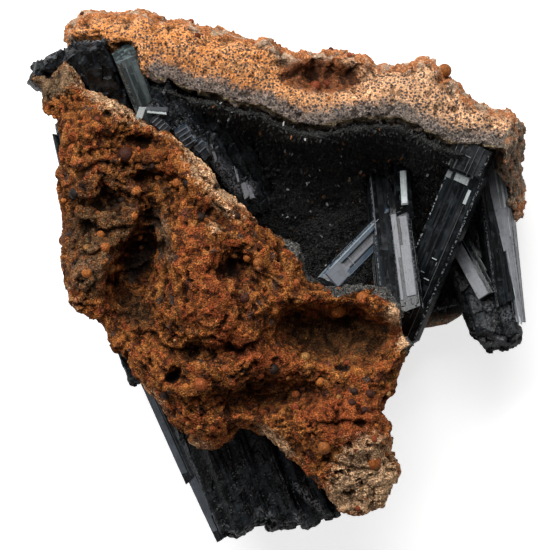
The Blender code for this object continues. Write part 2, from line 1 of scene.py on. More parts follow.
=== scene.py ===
"""Dresses a vivianite specimen: black crystals in a split block of oolitic limonite.

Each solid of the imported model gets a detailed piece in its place. The two rocks and the crust
are refined from their solids, the crystals are built again from their own sizes with the
striations, steps and splintered ends that vivianite has, and ooids, grit and druse are
scattered over what carries them. Lengths are in millimetres, and MM turns them into metres.
"""

import logging
import math
from collections.abc import Callable, Sequence
from dataclasses import dataclass, field
from enum import Enum
from functools import cache

import bmesh
import bpy
import numpy as np
from mathutils import Matrix, Vector
from mathutils.bvhtree import BVHTree


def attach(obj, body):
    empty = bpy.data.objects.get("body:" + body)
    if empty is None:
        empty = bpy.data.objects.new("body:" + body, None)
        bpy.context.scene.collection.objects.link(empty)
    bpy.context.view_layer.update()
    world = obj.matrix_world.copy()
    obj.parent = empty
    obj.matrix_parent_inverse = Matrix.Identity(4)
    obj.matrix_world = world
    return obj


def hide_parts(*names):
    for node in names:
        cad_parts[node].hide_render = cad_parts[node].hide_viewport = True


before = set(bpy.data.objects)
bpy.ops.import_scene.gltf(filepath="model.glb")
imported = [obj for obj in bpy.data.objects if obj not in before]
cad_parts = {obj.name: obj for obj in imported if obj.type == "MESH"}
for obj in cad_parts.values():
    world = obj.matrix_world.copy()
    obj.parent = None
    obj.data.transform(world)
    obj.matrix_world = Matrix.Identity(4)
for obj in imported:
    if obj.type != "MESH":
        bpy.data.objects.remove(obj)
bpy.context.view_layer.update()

MM = 0.001
log = logging.getLogger("specimen")

Pair = tuple[float, float]
Triple = tuple[float, float, float]
Row = tuple[float, ...]
Socket = bpy.types.NodeSocket
Feed = Socket | float | Triple
Feeds = dict[int | str, object]
Shade = Callable[[Vector], Triple]

WHITE = (1.0, 1.0, 1.0, 1.0)
# How far off a surface may be and still shut a place on a rock in.
SHELTER_REACH = 7.0

# Single ooids that lie in plain sight on the front slab: place, radius and tint.
SLAB_BALLS = [
    (-44.6, 18.2, 1.3, 0.02), (-27.3, 24.4, 0.9, 0.05), (-45.7, 9, 0.9, 0.04), (-34.2, 16.7, 0.8, 0.04),
    (-16.7, 12.8, 1.1, 0.04), (-8.6, 13.1, 1, 0.05), (-33.3, 26.8, 1.7, 0.1), (-36.9, 1.4, 1.3, 0.76),
    (-31.5, 13.1, 1, 0.45), (-37.8, 6.1, 1.1, 0.45), (-41.9, 0.5, 1.2, 0.5), (-41.9, 6.1, 0.8, 0.8),
    (-35.6, 1.6, 1, 0.6), (-21.8, 20.5, 1.1, 0.45), (-19.4, 20.5, 1.2, 0.02), (14.1, -7.7, 1.9, 0.5),
    (19.7, -5.2, 1.6, 0.45), (-0.3, -8, 1.2, 0.58), (-6.1, 3.8, 1, 0.5), (-3.8, 2.7, 1.1, 0.6),
    (4.7, -1.7, 0.9, 0.4), (11, -38.3, 1.6, 0.62), (7, -36.9, 1, 0.5), (-16.5, -24.4, 1.6, 0.38),
    (22, -41.8, 1.6, 0.45), (17.6, -26.1, 1, 0.05), (21.1, -26.5, 1.1, 0.1), (17.1, -28.4, 0.9, 0.1),
    (19.9, -30, 0.9, 0.1), (4.7, -26.8, 1.1, 0.38), (4.5, -29.5, 1, 0.33), (-3.4, -22.3, 1, 0.36),
    (10.1, -23.9, 1.1, 0.5), (-19.8, -24.9, 0.9, 0.5), (6.8, -18.4, 1.2, 0.8), (-11, -20.9, 1, 0.4),
    (-38.9, 9, 0.9, 0.5), (-26, 21.6, 1, 0.5), (-30.5, 8.6, 0.9, 0.5), (-0.3, -21, 1.2, 0.03),
    (-6.8, -5.2, 1.3, 0.12), (-24.4, -26.5, 1.3, 0.05),
]

# Single balls on the back wall: two in its pit, a pale one on the left and one on the right.
WALL_BALLS = [(9, 42.3, 1.3, 0.3), (11.9, 42.9, 1.1, 0.25), (-13.7, 53.6, 1.2, 0.9), (38, 45.8, 1.6, 0.6)]

# Crumbs of rust on the druse, and pale ones that are painted glints.
DRUSE_CRUMBS_AND_GLINTS = [
    (19.4, 23.4, 0.55, 0.5), (20.2, 22.8, 0.4, 0.5), (-6.3, 28.8, 0.4, 0.5), (28.4, 26.3, 0.45, 0.6),
    (17, 22, 0.32, 1), (16.9, 21.5, 0.3, 1), (17.8, 16.6, 0.22, 1),
]

# The edge where the back wall's broken face meets the hollow, from left to right and down.
RIM = [
    (-48.4, 53.8), (-37.8, 53.8), (-36.7, 51.3), (-32, 51.3), (-28.1, 44.6), (-23.2, 43.2), (-19.1, 41.2),
    (-12.8, 40.1), (-7.9, 38.2), (-2.9, 37.8), (1.6, 35.1), (6.8, 33.3), (10.6, 33.3), (15.8, 34.4),
    (21.4, 35.1), (27.7, 35.1), (31.5, 33.3), (37.1, 30.4), (41.6, 29), (47.2, 29), (50.6, 28.1),
]

# The rim goes on down the right side, where the hollow's wall is steep.
SIDE_RIM = [(50.6, 28.1), (51.3, 24), (52.9, 19.1), (53.6, 15.8), (53.8, 11.5), (58, 8)]

# Where the back wall's broken face ends on its outer side, from left to right.
OUTER_EDGE = [
    (-46.8, 52.4), (-46.8, 54.7), (-44.6, 57.6), (-42.5, 58.3), (-41.4, 60.1), (-38.2, 59.6), (-32.6, 59),
    (-28.1, 59), (-25.9, 57.4), (-20.9, 58.1), (-16.9, 55.8), (-11.9, 54.9), (-6.1, 53.6), (-1.1, 52.4),
    (0.5, 50.6), (5, 49.7), (10.1, 50.2), (16.2, 50.6), (19.8, 49.1), (22.9, 47.2), (30.4, 47.2),
    (33.5, 48.6), (36.7, 47.7), (38.2, 45.2), (37.8, 44.1), (41.2, 42.3), (44.1, 39.4), (47.9, 37.4),
    (53.8, 36.9), (55.6, 33.8),
]

# The front slab's thin inner edge over the hollow, from the upper tip to the right side.
SLAB_INNER_EDGE = [
    (-48.1, 48.4), (-45, 46.8), (-42.5, 43.4), (-39.4, 40.1), (-35.6, 38), (-31.7, 36), (-28.1, 33.1),
    (-24.8, 31.1), (-21.6, 30.6), (-19.1, 28.1), (-15.3, 25.2), (-13.5, 22.3), (-11.9, 18.2), (-7.2, 15.8),
    (-3.8, 12.4), (0, 9.7), (4, 7), (6.3, 4.3), (7.9, -0.7), (11, -1.1), (13.7, -4), (16.9, -2.9),
    (20.5, -2.5), (23.6, -3.1), (26.6, -5), (28.4, -6.8), (29, -11.2), (31.7, -15.1),
]

# Where dark crystals line the front slab's edge.
SLAB_LINING = [
    (2.4, 9.8), (4.6, 6.8), (6.8, 4), (8.4, -0.1), (11, -0.4), (13.7, -3.4), (16.9, -2.6), (20.5, -2.1),
    (23.6, -2.8), (26.9, -4.8), (28.8, -6.6), (29.4, -11.2), (32.1, -15.1), (30.8, -17.8), (28.4, -26),
]


@dataclass(frozen=True)
class Patch:
    """An oval on a rock's upper face, in plan: a rise or hollow, or a share of a colour."""

    x: float
    y: float
    reach: float
    across: float
    heading: float
    amount: float
    flatness: float = 1.0

    def weigh(self, points: np.ndarray) -> np.ndarray:
        """The patch's amount at each point.

        Args:
            points: Points in millimetres, one a row.

        Returns:
            The amounts, fading to nothing outside the oval.
        """
        x, y, turn = points[:, 0], points[:, 1], math.radians(self.heading)
        along = (x - self.x) * math.cos(turn) + (y - self.y) * math.sin(turn)
        across = (y - self.y) * math.cos(turn) - (x - self.x) * math.sin(turn)
        square = (along / self.reach) ** 2 + (across / self.across) ** 2
        return self.amount * np.exp(-(square**self.flatness))


@dataclass(frozen=True)
class Ledge:
    """A step in a rock's upper face, which drops on the right of its line and comes back."""

    line: tuple[Pair, ...]
    drop: float
    reach: float

    def weigh(self, points: np.ndarray) -> np.ndarray:
        """How far the face moves at each point.

        Args:
            points: Points in millimetres, one a row.

        Returns:
            The heights, below nothing on the right of the line.
        """
        nearest, right, share = follow(self.line, points)
        fade = np.sin(np.pi * share) ** 0.6
        return -self.drop * fade * step(0.0, 0.35, right) * np.exp(-nearest / self.reach)


def patched(marks: list[Patch | Ledge], points: np.ndarray) -> np.ndarray:
    """The sum of what patches and ledges do at each point, given one a row in millimetres."""
    return sum((mark.weigh(points) for mark in marks), np.zeros(len(points)))


def follow(line: Sequence[Pair], points: np.ndarray) -> tuple[np.ndarray, np.ndarray, np.ndarray]:
    """Finds where points lie beside a line in plan.

    Args:
        line: The line's corners.
        points: Points in millimetres, one a row.

    Returns:
        Each point's distance from the line, how far it is to the right of the nearest run, and
        its share of the way along.
    """
    corners = np.array(line)
    runs = np.diff(corners, axis=0)
    lengths = np.linalg.norm(runs, axis=1)
    starts = np.concatenate(([0.0], np.cumsum(lengths)))
    nearest, right, share = np.full((3, len(points)), np.inf)
    for corner, run, length, start in zip(corners, runs, lengths, starts):
        offset = points[:, :2] - corner
        along = np.clip(offset @ run / length**2, 0.0, 1.0)
        gap = np.linalg.norm(offset - along[:, None] * run, axis=1)
        side = (offset[:, 0] * run[1] - offset[:, 1] * run[0]) / length
        closer = gap < nearest
        right = np.where(closer, side, right)
        share = np.where(closer, (start + along * length) / starts[-1], share)
        nearest = np.minimum(nearest, gap)
    return nearest, right, share


def distance_to(line: Sequence[Pair], points: np.ndarray) -> np.ndarray:
    """Each point's distance from a line in plan."""
    return follow(line, points)[0]


def step(low: float, high: float, values: np.ndarray) -> np.ndarray:
    """A smooth rise from 0 at low to 1 at high, for each value."""
    share = np.clip((values - low) / (high - low), 0.0, 1.0)
    return share * share * (3.0 - 2.0 * share)


@dataclass(frozen=True)
class StoneNoise:
    """Repeatable noise over points in space."""

    seed: int

    def lattice(self, cells: np.ndarray, salt: int) -> np.ndarray:
        """Picks a number for each cell of a grid.

        Args:
            cells: The cells' whole-number places, one a row.
            salt: Tells one picking from another.

        Returns:
            A number from 0 to 1 for each cell.
        """
        key = (cells.astype(np.int64) & 0xFFFFFFFF).astype(np.uint64)
        mixed = key[:, 0] * np.uint64(73856093) ^ key[:, 1] * np.uint64(19349663)
        mixed ^= key[:, 2] * np.uint64(83492791) ^ np.uint64((self.seed * 7919 + salt) * 2654435761)
        for shift, factor in ((15, 2246822519), (13, 3266489917), (16, 668265263)):
            mixed &= np.uint64(0xFFFFFFFF)
            mixed = (mixed ^ (mixed >> np.uint64(shift))) * np.uint64(factor)
        return (mixed & np.uint64(0xFFFFFFFF)) / 4294967296.0

    def soft(self, points: np.ndarray, size: float, salt: int = 0) -> np.ndarray:
        """Soft lumps.

        Args:
            points: Points in millimetres, one a row.
            size: The lumps' size.
            salt: Tells one set of lumps from another.

        Returns:
            A height from -1 to 1 for each point.
        """
        scaled = points / size + 13.7 * (salt + 1)
        base = np.floor(scaled)
        part = scaled - base
        fade = part**3 * (part * (part * 6.0 - 15.0) + 10.0)
        total = np.zeros(len(points))
        for corner in np.ndindex(2, 2, 2):
            weight = np.prod(np.where(corner, fade, 1.0 - fade), axis=1)
            total += weight * self.lattice(base + corner, salt)
        return 2.0 * total - 1.0

    def rough(self, points: np.ndarray, size: float, octaves: int, salt: int = 0) -> np.ndarray:
        """Lumps on lumps, each half the size of the last: a height of about -1 to 1 for each point."""
        layers = [self.soft(points, size / 2**k, salt + k) * 0.55**k for k in range(octaves)]
        return sum(layers) * 1.3

    def ridged(self, points: np.ndarray, size: float, octaves: int, salt: int = 0) -> np.ndarray:
        """Sharp crests between rounded hollows.

        Args:
            points: Points in millimetres, one a row.
            size: The distance between crests.
            octaves: How many sizes there are.
            salt: Tells one surface from another.

        Returns:
            A height from 0 to about 1 for each point.
        """
        total, weight = np.zeros(len(points)), np.ones(len(points))
        for k in range(octaves):
            crest = (1.0 - np.abs(self.soft(points, size / 2**k, salt + k))) ** 2
            total += crest * weight * 0.5**k
            weight = np.clip(crest * 1.4, 0.0, 1.0)
        return total / 1.6

    def grains(self, points: np.ndarray, size: float, salt: int = 0) -> tuple[np.ndarray, ...]:
        """Packed grains of about one size.

        Args:
            points: Points in millimetres, one a row.
            size: The grains' size.
            salt: Tells one packing from another.

        Returns:
            Each point's distance to the nearest centre and to the next, in sizes, the nearest
            grain's own number from 0 to 1, and each point's place from its centre.
        """
        scaled = points / size + 7.3 * (salt + 1)
        base = np.floor(scaled)
        first, second = np.full(len(points), 9.0), np.full(len(points), 9.0)
        own, place = np.zeros(len(points)), np.zeros((len(points), 3))
        for neighbour in np.ndindex(3, 3, 3):
            cell = base + neighbour - 1
            jitter = np.column_stack([self.lattice(cell, salt + k) for k in (1, 2, 3)])
            offset = scaled - cell - jitter
            gap = np.linalg.norm(offset, axis=1)
            nearer = gap < first
            second = np.where(nearer, first, np.minimum(second, gap))
            own = np.where(nearer, self.lattice(cell, salt + 4), own)
            place = np.where(nearer[:, None], offset, place)
            first = np.where(nearer, gap, first)
        return first, second, own, place

    def facets(self, points: np.ndarray, size: float, steep: float, salt: int = 0) -> np.ndarray:
        """Flat, tilted breaks that meet at sharp edges.

        Args:
            points: Points in millimetres, one a row.
            size: How wide a break is.
            steep: The steepest break's slope.
            salt: Tells one breaking from another.

        Returns:
            A height in millimetres for each point.
        """
        _, _, own, place = self.grains(points, size, salt)
        ways = np.column_stack([(own * turn) % 1.0 - 0.5 for turn in (17.17, 91.73, 37.31)])
        return 2.0 * steep * size * np.einsum("ij,ij->i", place, ways) + 0.2 * steep * size * (own - 0.5)


def read_points(mesh: bpy.types.Mesh) -> np.ndarray:
    """The mesh's vertices in millimetres, one a row."""
    flat = np.empty(len(mesh.vertices) * 3)
    mesh.vertices.foreach_get("co", flat)
    return flat.reshape(-1, 3) / MM


def write_points(mesh: bpy.types.Mesh, points: np.ndarray) -> None:
    """Puts the mesh's vertices at points in millimetres."""
    mesh.vertices.foreach_set("co", (points * MM).ravel())
    mesh.update()


def read_normals(mesh: bpy.types.Mesh) -> np.ndarray:
    """The mesh's vertex normals, one a row."""
    flat = np.empty(len(mesh.vertices) * 3)
    mesh.vertex_normals.foreach_get("vector", flat)
    return flat.reshape(-1, 3)


def relaxed(mesh: bpy.types.Mesh, values: np.ndarray, passes: int) -> np.ndarray:
    """Evens values out over the mesh.

    Args:
        mesh: The mesh.
        values: A row of numbers for each vertex.
        passes: How many times each row is drawn to the mean of its neighbours.

    Returns:
        The evened rows.
    """
    flat = np.empty(len(mesh.edges) * 2, dtype=np.int32)
    mesh.edges.foreach_get("vertices", flat)
    one, two = flat.reshape(-1, 2).T
    total = len(mesh.vertices)
    count = np.maximum(np.bincount(flat, minlength=total), 1)
    for _ in range(passes):
        columns = [
            np.bincount(one, weights=column[two], minlength=total)
            + np.bincount(two, weights=column[one], minlength=total)
            for column in values.T
        ]
        values = 0.4 * values + 0.6 * np.column_stack(columns) / count[:, None]
    return values


def store(mesh: bpy.types.Mesh, name: str, values: np.ndarray) -> None:
    """Keeps a number for each vertex under a name that the finishes read."""
    attribute = mesh.attributes.new(name, "FLOAT", "POINT")
    attribute.data.foreach_set("value", values.astype(np.float32))


def new_object(name: str, mesh: bpy.types.Mesh) -> bpy.types.Object:
    """An object in the scene that holds the mesh."""
    made = bpy.data.objects.new(name, mesh)
    bpy.context.scene.collection.objects.link(made)
    return made


def settle(obj: bpy.types.Object) -> None:
    """Puts what the object's modifiers make in place of its mesh."""
    graph = bpy.context.evaluated_depsgraph_get()
    mesh = bpy.data.meshes.new_from_object(obj.evaluated_get(graph))
    obj.modifiers.clear()
    obj.data = mesh


def smooth_faces(mesh: bpy.types.Mesh) -> None:
    """Shades the whole mesh smooth."""
    mesh.polygons.foreach_set("use_smooth", [True] * len(mesh.polygons))
    mesh.update()


def present(piece: bpy.types.Object, solid: str = "") -> None:
    """Makes an object a piece of the specimen and reports it.

    Args:
        piece: The finished object.
        solid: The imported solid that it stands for, if it does.
    """
    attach(piece, "root")
    if solid:
        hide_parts(solid)
    piece.data.calc_loop_triangles()
    log.info("%s: %d triangles", piece.name, len(piece.data.loop_triangles))


class NodeSheet:
    """A node tree that nodes are added to and linked in one call."""

    def __init__(self, tree: bpy.types.NodeTree) -> None:
        """Takes the tree that it adds to."""
        self.tree = tree

    def feed(self, node: bpy.types.Node, feeds: Feeds) -> None:
        """Gives a node's inputs their values.

        Args:
            node: The node.
            feeds: A value or another node's output for each input that needs one.
        """
        for key, value in feeds.items():
            if isinstance(value, Socket):
                self.tree.links.new(value, node.inputs[key])
            else:
                node.inputs[key].default_value = value

    def add(self, kind: str, feeds: Feeds | None = None, **settings: object) -> bpy.types.Node:
        """Adds a node.

        Args:
            kind: The node's type name.
            feeds: A value or another node's output for each input that needs one.
            settings: The node's own settings.

        Returns:
            The new node.
        """
        node = self.tree.nodes.new(kind)
        for key, value in settings.items():
            setattr(node, key, value)
        self.feed(node, feeds or {})
        return node

    def math(self, operation: str, *values: Feed) -> Socket:
        """The output of a math node on the given values."""
        return self.add("ShaderNodeMath", dict(enumerate(values)), operation=operation).outputs[0]

    def vector(self, operation: str, *values: Feed) -> Socket:
        """The output of a vector math node on the given values."""
        return self.add("ShaderNodeVectorMath", dict(enumerate(values)), operation=operation).outputs[0]

    def random_vector(self, low: Feed, high: Feed) -> Socket:
        """The output of three random numbers for each element, from low to high."""
        return self.add("FunctionNodeRandomValue", {0: low, 1: high}, data_type="FLOAT_VECTOR").outputs[0]

    def mix(self, share: Feed, first: Feed, second: Feed, blend: str = "MIX") -> Socket:
        """Mixes two colours.

        Args:
            share: How much of the second colour there is.
            first: The first colour, or the output that gives it.
            second: The second colour, or the output that gives it.
            blend: How they mix.

        Returns:
            The output with the mixed colour.
        """
        first, second = [c if isinstance(c, Socket) else (*c, 1.0) for c in (first, second)]
        feeds = {0: share, 6: first, 7: second}
        return self.add("ShaderNodeMix", feeds, data_type="RGBA", blend_type=blend).outputs[2]

    def noise(self, place: Socket, scale: float, detail: float = 3.0, rough: float = 0.55) -> Socket:
        """A noise value from 0 to 1, with scale lumps in a millimetre and smaller ones on them."""
        feeds = {"Vector": place, "Scale": scale, "Detail": detail, "Roughness": rough}
        return self.add("ShaderNodeTexNoise", feeds).outputs[0]

    def rise(
        self, value: Socket, low: float, high: float, to_low: float = 0.0, to_high: float = 1.0
    ) -> Socket:
        """Maps a value smoothly from the range low to high to the range to_low to to_high."""
        feeds = {0: value, 1: low, 2: high, 3: to_low, 4: to_high}
        return self.add("ShaderNodeMapRange", feeds, interpolation_type="SMOOTHSTEP").outputs[0]

    def ramp(self, value: Socket, stops: list[tuple[float, Triple]]) -> Socket:
        """A colour for each value.

        Args:
            value: The output that gives the value.
            stops: Each colour with the value it stands at, lowest first.

        Returns:
            The colour.
        """
        node = self.add("ShaderNodeValToRGB", {0: value})
        while len(node.color_ramp.elements) < len(stops):
            node.color_ramp.elements.new(1.0)
        for element, (place, colour) in zip(node.color_ramp.elements, stops):
            element.position = place
            element.color = (*colour, 1.0)
        return node.outputs[0]

    def number(self, name: str) -> Socket:
        """The number that the mesh keeps under a name."""
        return self.add("ShaderNodeAttribute", attribute_name=name).outputs["Fac"]

    def place(self) -> Socket:
        """The surface's place in the object, in millimetres."""
        source = self.add("ShaderNodeTexCoord").outputs["Object"]
        return self.vector("MULTIPLY", source, (1000.0, 1000.0, 1000.0))


class FinishSheet(NodeSheet):
    """The sheet of a new material."""

    def __init__(self, name: str) -> None:
        """Starts a material with the given name."""
        self.material = bpy.data.materials.new(name)
        self.material.use_nodes = True
        super().__init__(self.material.node_tree)
        self.shader = self.tree.nodes["Principled BSDF"]

    def finish(
        self, colour: Socket, roughness: Socket, height: Socket, depth: float, gloss: float
    ) -> bpy.types.Material:
        """Gives the material its look.

        Args:
            colour: The output with the colour.
            roughness: The output with the roughness.
            height: The output with the bumps' height.
            depth: How deep the bumps are, in millimetres.
            gloss: How strongly it shines, 0.5 for plain glass.

        Returns:
            The material.
        """
        bump = self.add("ShaderNodeBump", {"Height": height, "Strength": 1.0, "Distance": depth * MM})
        self.feed(self.shader, {
            "Base Color": colour, "Roughness": roughness, "Normal": bump.outputs[0],
            "Specular IOR Level": gloss,
        })
        return self.material


def new_group(
    name: str, inputs: dict[str, str], outputs: dict[str, str], kind: str = "ShaderNodeTree"
) -> tuple[NodeSheet, bpy.types.Node, bpy.types.Node]:
    """Starts a node group.

    Args:
        name: The group's name.
        inputs: The sort of each named input.
        outputs: The sort of each named output.
        kind: The kind of tree.

    Returns:
        The group's sheet, and its input and output nodes.
    """
    tree = bpy.data.node_groups.new(name, kind)
    for way, sockets in (("INPUT", inputs), ("OUTPUT", outputs)):
        for label, sort in sockets.items():
            tree.interface.new_socket(label, in_out=way, socket_type="NodeSocket" + sort)
    sheet = NodeSheet(tree)
    return sheet, sheet.add("NodeGroupInput"), sheet.add("NodeGroupOutput")


@cache
def stone_grain_group() -> bpy.types.NodeTree:
    """The fine grain that every rock and crust has, with painted shade in the gaps between its crumbs.

    Returns:
        A group that takes a place in millimetres and gives a tone round 1 and a height.
    """
    sheet, source, result = new_group(
        "stone_grain", {"Place": "Vector"}, {"Tone": "Float", "Height": "Float"}
    )
    place = source.outputs["Place"]
    coarse = sheet.noise(place, 0.9, 5.0, 0.65)
    fine = sheet.noise(place, 3.2, 4.0, 0.7)
    crumb = sheet.add("ShaderNodeTexVoronoi", {"Vector": place, "Scale": 2.4, "Randomness": 1.0})
    grain = sheet.add("ShaderNodeSeparateColor", {0: crumb.outputs["Color"]}).outputs[0]
    rugged = sheet.rise(sheet.noise(place, 0.30, 3.0, 0.6), 0.40, 0.60, 0.25, 1.0)
    # Painted shade in the gaps between crumbs, and a little painted light in their middles.
    painted_gap_shade = sheet.rise(crumb.outputs["Distance"], 0.30, 0.75, 1.12, 0.38)
    crumbly = sheet.math("MULTIPLY", painted_gap_shade, sheet.rise(grain, 0.0, 1.0, 0.68, 1.55))
    crumbly = sheet.math("MULTIPLY_ADD", sheet.math("SUBTRACT", crumbly, 1.0), rugged, 1.0)
    tone = sheet.rise(coarse, 0.3, 0.7, 0.75, 1.25)
    tone = sheet.math("MULTIPLY", tone, sheet.rise(fine, 0.38, 0.62, 0.44, 1.58))
    tone = sheet.math("MULTIPLY", sheet.math("MULTIPLY", tone, crumbly), 1.2)
    height = sheet.math("MULTIPLY_ADD", fine, 0.7, sheet.math("MULTIPLY", crumb.outputs["Distance"], -0.9))
    height = sheet.math("MULTIPLY_ADD", coarse, 0.45, height)
    sheet.feed(result, {"Tone": tone, "Height": height})
    return sheet.tree


@cache
def painted_shade_group() -> bpy.types.NodeTree:
    """Paints shade into a rock's crevices and sheltered places, and highlight onto its crests.

    Returns:
        A group that takes a colour, a relief from -1 to 1, how sheltered the place is and a
        tone, and gives the colour.
    """
    sheet, source, result = new_group(
        "painted_shade",
        {"Colour": "Color", "Relief": "Float", "Shelter": "Float", "Tone": "Float"},
        {"Colour": "Color"},
    )
    # Painted shade where the relief is low or the place is sheltered, painted highlight where it stands
    # out.
    low = sheet.rise(source.outputs["Relief"], -1.0, 0.1, 0.42, 1.0)
    high = sheet.rise(source.outputs["Relief"], 0.1, 1.0, 1.0, 1.3)
    airy = sheet.rise(source.outputs["Shelter"], 0.15, 0.85, 1.12, 0.24)
    gain = sheet.math("MULTIPLY", sheet.math("MULTIPLY", low, high), source.outputs["Tone"])
    gain = sheet.math("MULTIPLY", gain, airy)
    grey = sheet.add("ShaderNodeCombineColor", {0: gain, 1: gain, 2: gain}).outputs[0]
    sheet.feed(result, {"Colour": sheet.mix(1.0, source.outputs["Colour"], grey, "MULTIPLY")})
    return sheet.tree


@cache
def striation_group() -> bpy.types.NodeTree:
    """The fine lines along a crystal.

    Returns:
        A group that takes the crystal's own coordinates and gives the lines and cloudiness.
    """
    sheet, source, result = new_group(
        "striations", {"Grain": "Vector"}, dict.fromkeys(("Lines", "Broad", "Cloud", "Fleck"), "Float")
    )
    grain = source.outputs["Grain"]
    drawn = sheet.vector("MULTIPLY", grain, (1.0, 1.0, 0.03))
    sheet.feed(result, {
        "Lines": sheet.noise(drawn, 6.0, 4.0, 0.7), "Broad": sheet.noise(drawn, 0.75, 3.0, 0.5),
        "Cloud": sheet.noise(grain, 0.35, 5.0, 0.6), "Fleck": sheet.noise(grain, 1.9, 3.0, 0.65),
    })
    return sheet.tree


def grain_and_painted_shade(sheet: NodeSheet, colour: Socket, tone: Pair) -> tuple[Socket, Socket]:
    """Adds a rock's grain, paints shade into its crevices and sheltered places and highlight onto its
    crests.

    Args:
        sheet: The material's sheet.
        colour: The output with the plain colour.
        tone: How much of the grain's tone there is, and how much stays even.

    Returns:
        The colour with its grain and painted shade and highlight, and the grain's height.
    """
    grain = sheet.add("ShaderNodeGroup", {"Place": sheet.place()}, node_tree=stone_grain_group()).outputs
    toned = sheet.math("MULTIPLY_ADD", grain["Tone"], *tone)
    feeds = {
        "Colour": colour, "Relief": sheet.number("relief"),
        "Shelter": sheet.number("shelter"), "Tone": toned,
    }
    return sheet.add("ShaderNodeGroup", feeds, node_tree=painted_shade_group()).outputs[0], grain["Height"]


# How strongly rough stone shines, where plain glass is 0.5.
STONE_GLOSS = 0.12


@dataclass(frozen=True)
class RustyLimonite:
    """The front slab's finish: earthy orange and brown, with pale, red and dark parts, and painted shade in
    its pits and recesses and under its ledges.
    """

    brown: Triple = (0.052, 0.021, 0.008)
    rust: Triple = (0.14, 0.044, 0.012)
    orange: Triple = (0.24, 0.082, 0.02)
    ochre: Triple = (0.28, 0.115, 0.032)
    red: Triple = (0.23, 0.052, 0.016)
    maroon: Triple = (0.055, 0.017, 0.009)
    flame: Triple = (0.38, 0.13, 0.03)
    taupe: Triple = (0.14, 0.092, 0.052)
    beige: Triple = (0.61, 0.38, 0.215)
    grey: Triple = (0.05, 0.043, 0.038)
    umber: Triple = (0.075, 0.036, 0.014)
    # The near black of the painted shade in pits and recesses.
    near_black: Triple = (0.016, 0.011, 0.009)
    druse: Triple = (0.09, 0.086, 0.078)

    def make(self) -> bpy.types.Material:
        """Builds the material.

        Returns:
            The material.
        """
        sheet = FinishSheet("rusty_limonite")
        place = sheet.place()
        blotch = sheet.noise(place, 0.33, 6.0, 0.62)
        stops = [(0.35, self.brown), (0.45, self.rust), (0.54, self.orange), (0.66, self.ochre)]
        colour = sheet.ramp(blotch, stops)
        drift = sheet.add("ShaderNodeTexNoise", {"Vector": place, "Scale": 1.2, "Detail": 3.0})
        warped = sheet.vector("ADD", drift.outputs["Color"], place)
        tint = sheet.add("ShaderNodeTexVoronoi", {"Vector": warped, "Scale": 0.62}).outputs["Color"]
        tint = sheet.add("ShaderNodeSeparateColor", {0: tint}).outputs
        colour = sheet.mix(sheet.rise(tint[0], 0.76, 0.80, 0.0, 0.7), colour, self.red)
        colour = sheet.mix(sheet.rise(tint[0], 0.14, 0.10, 0.0, 0.8), colour, self.maroon)
        colour = sheet.mix(sheet.rise(tint[1], 0.95, 0.97, 0.0, 0.7), colour, self.grey)
        colour = sheet.mix(sheet.rise(tint[2], 0.84, 0.88, 0.0, 0.5), colour, self.flame)
        patchy = sheet.noise(place, 0.8, 5.0, 0.7)
        # The near-black zone is painted shade in pits, the deep pocket and under ledges.
        zones = (("red", self.red, 0.7), ("umber", self.umber, 0.85), ("taupe", self.taupe, 0.9),
                 ("pale", self.beige, 0.9), ("painted_recess_shade", self.near_black, 0.92), ("lining", self.druse, 1.0))
        for name, shade, most in zones:
            amount = sheet.math("ADD", sheet.number(name), sheet.math("MULTIPLY_ADD", patchy, 1.6, -0.8))
            colour = sheet.mix(sheet.rise(amount, 0.25, 0.8, 0.0, most), colour, shade)
        colour, height = grain_and_painted_shade(sheet, colour, (1.0, 0.0))
        return sheet.finish(colour, sheet.rise(blotch, 0.3, 0.7, 0.95, 0.7), height, 0.42, STONE_GLOSS)


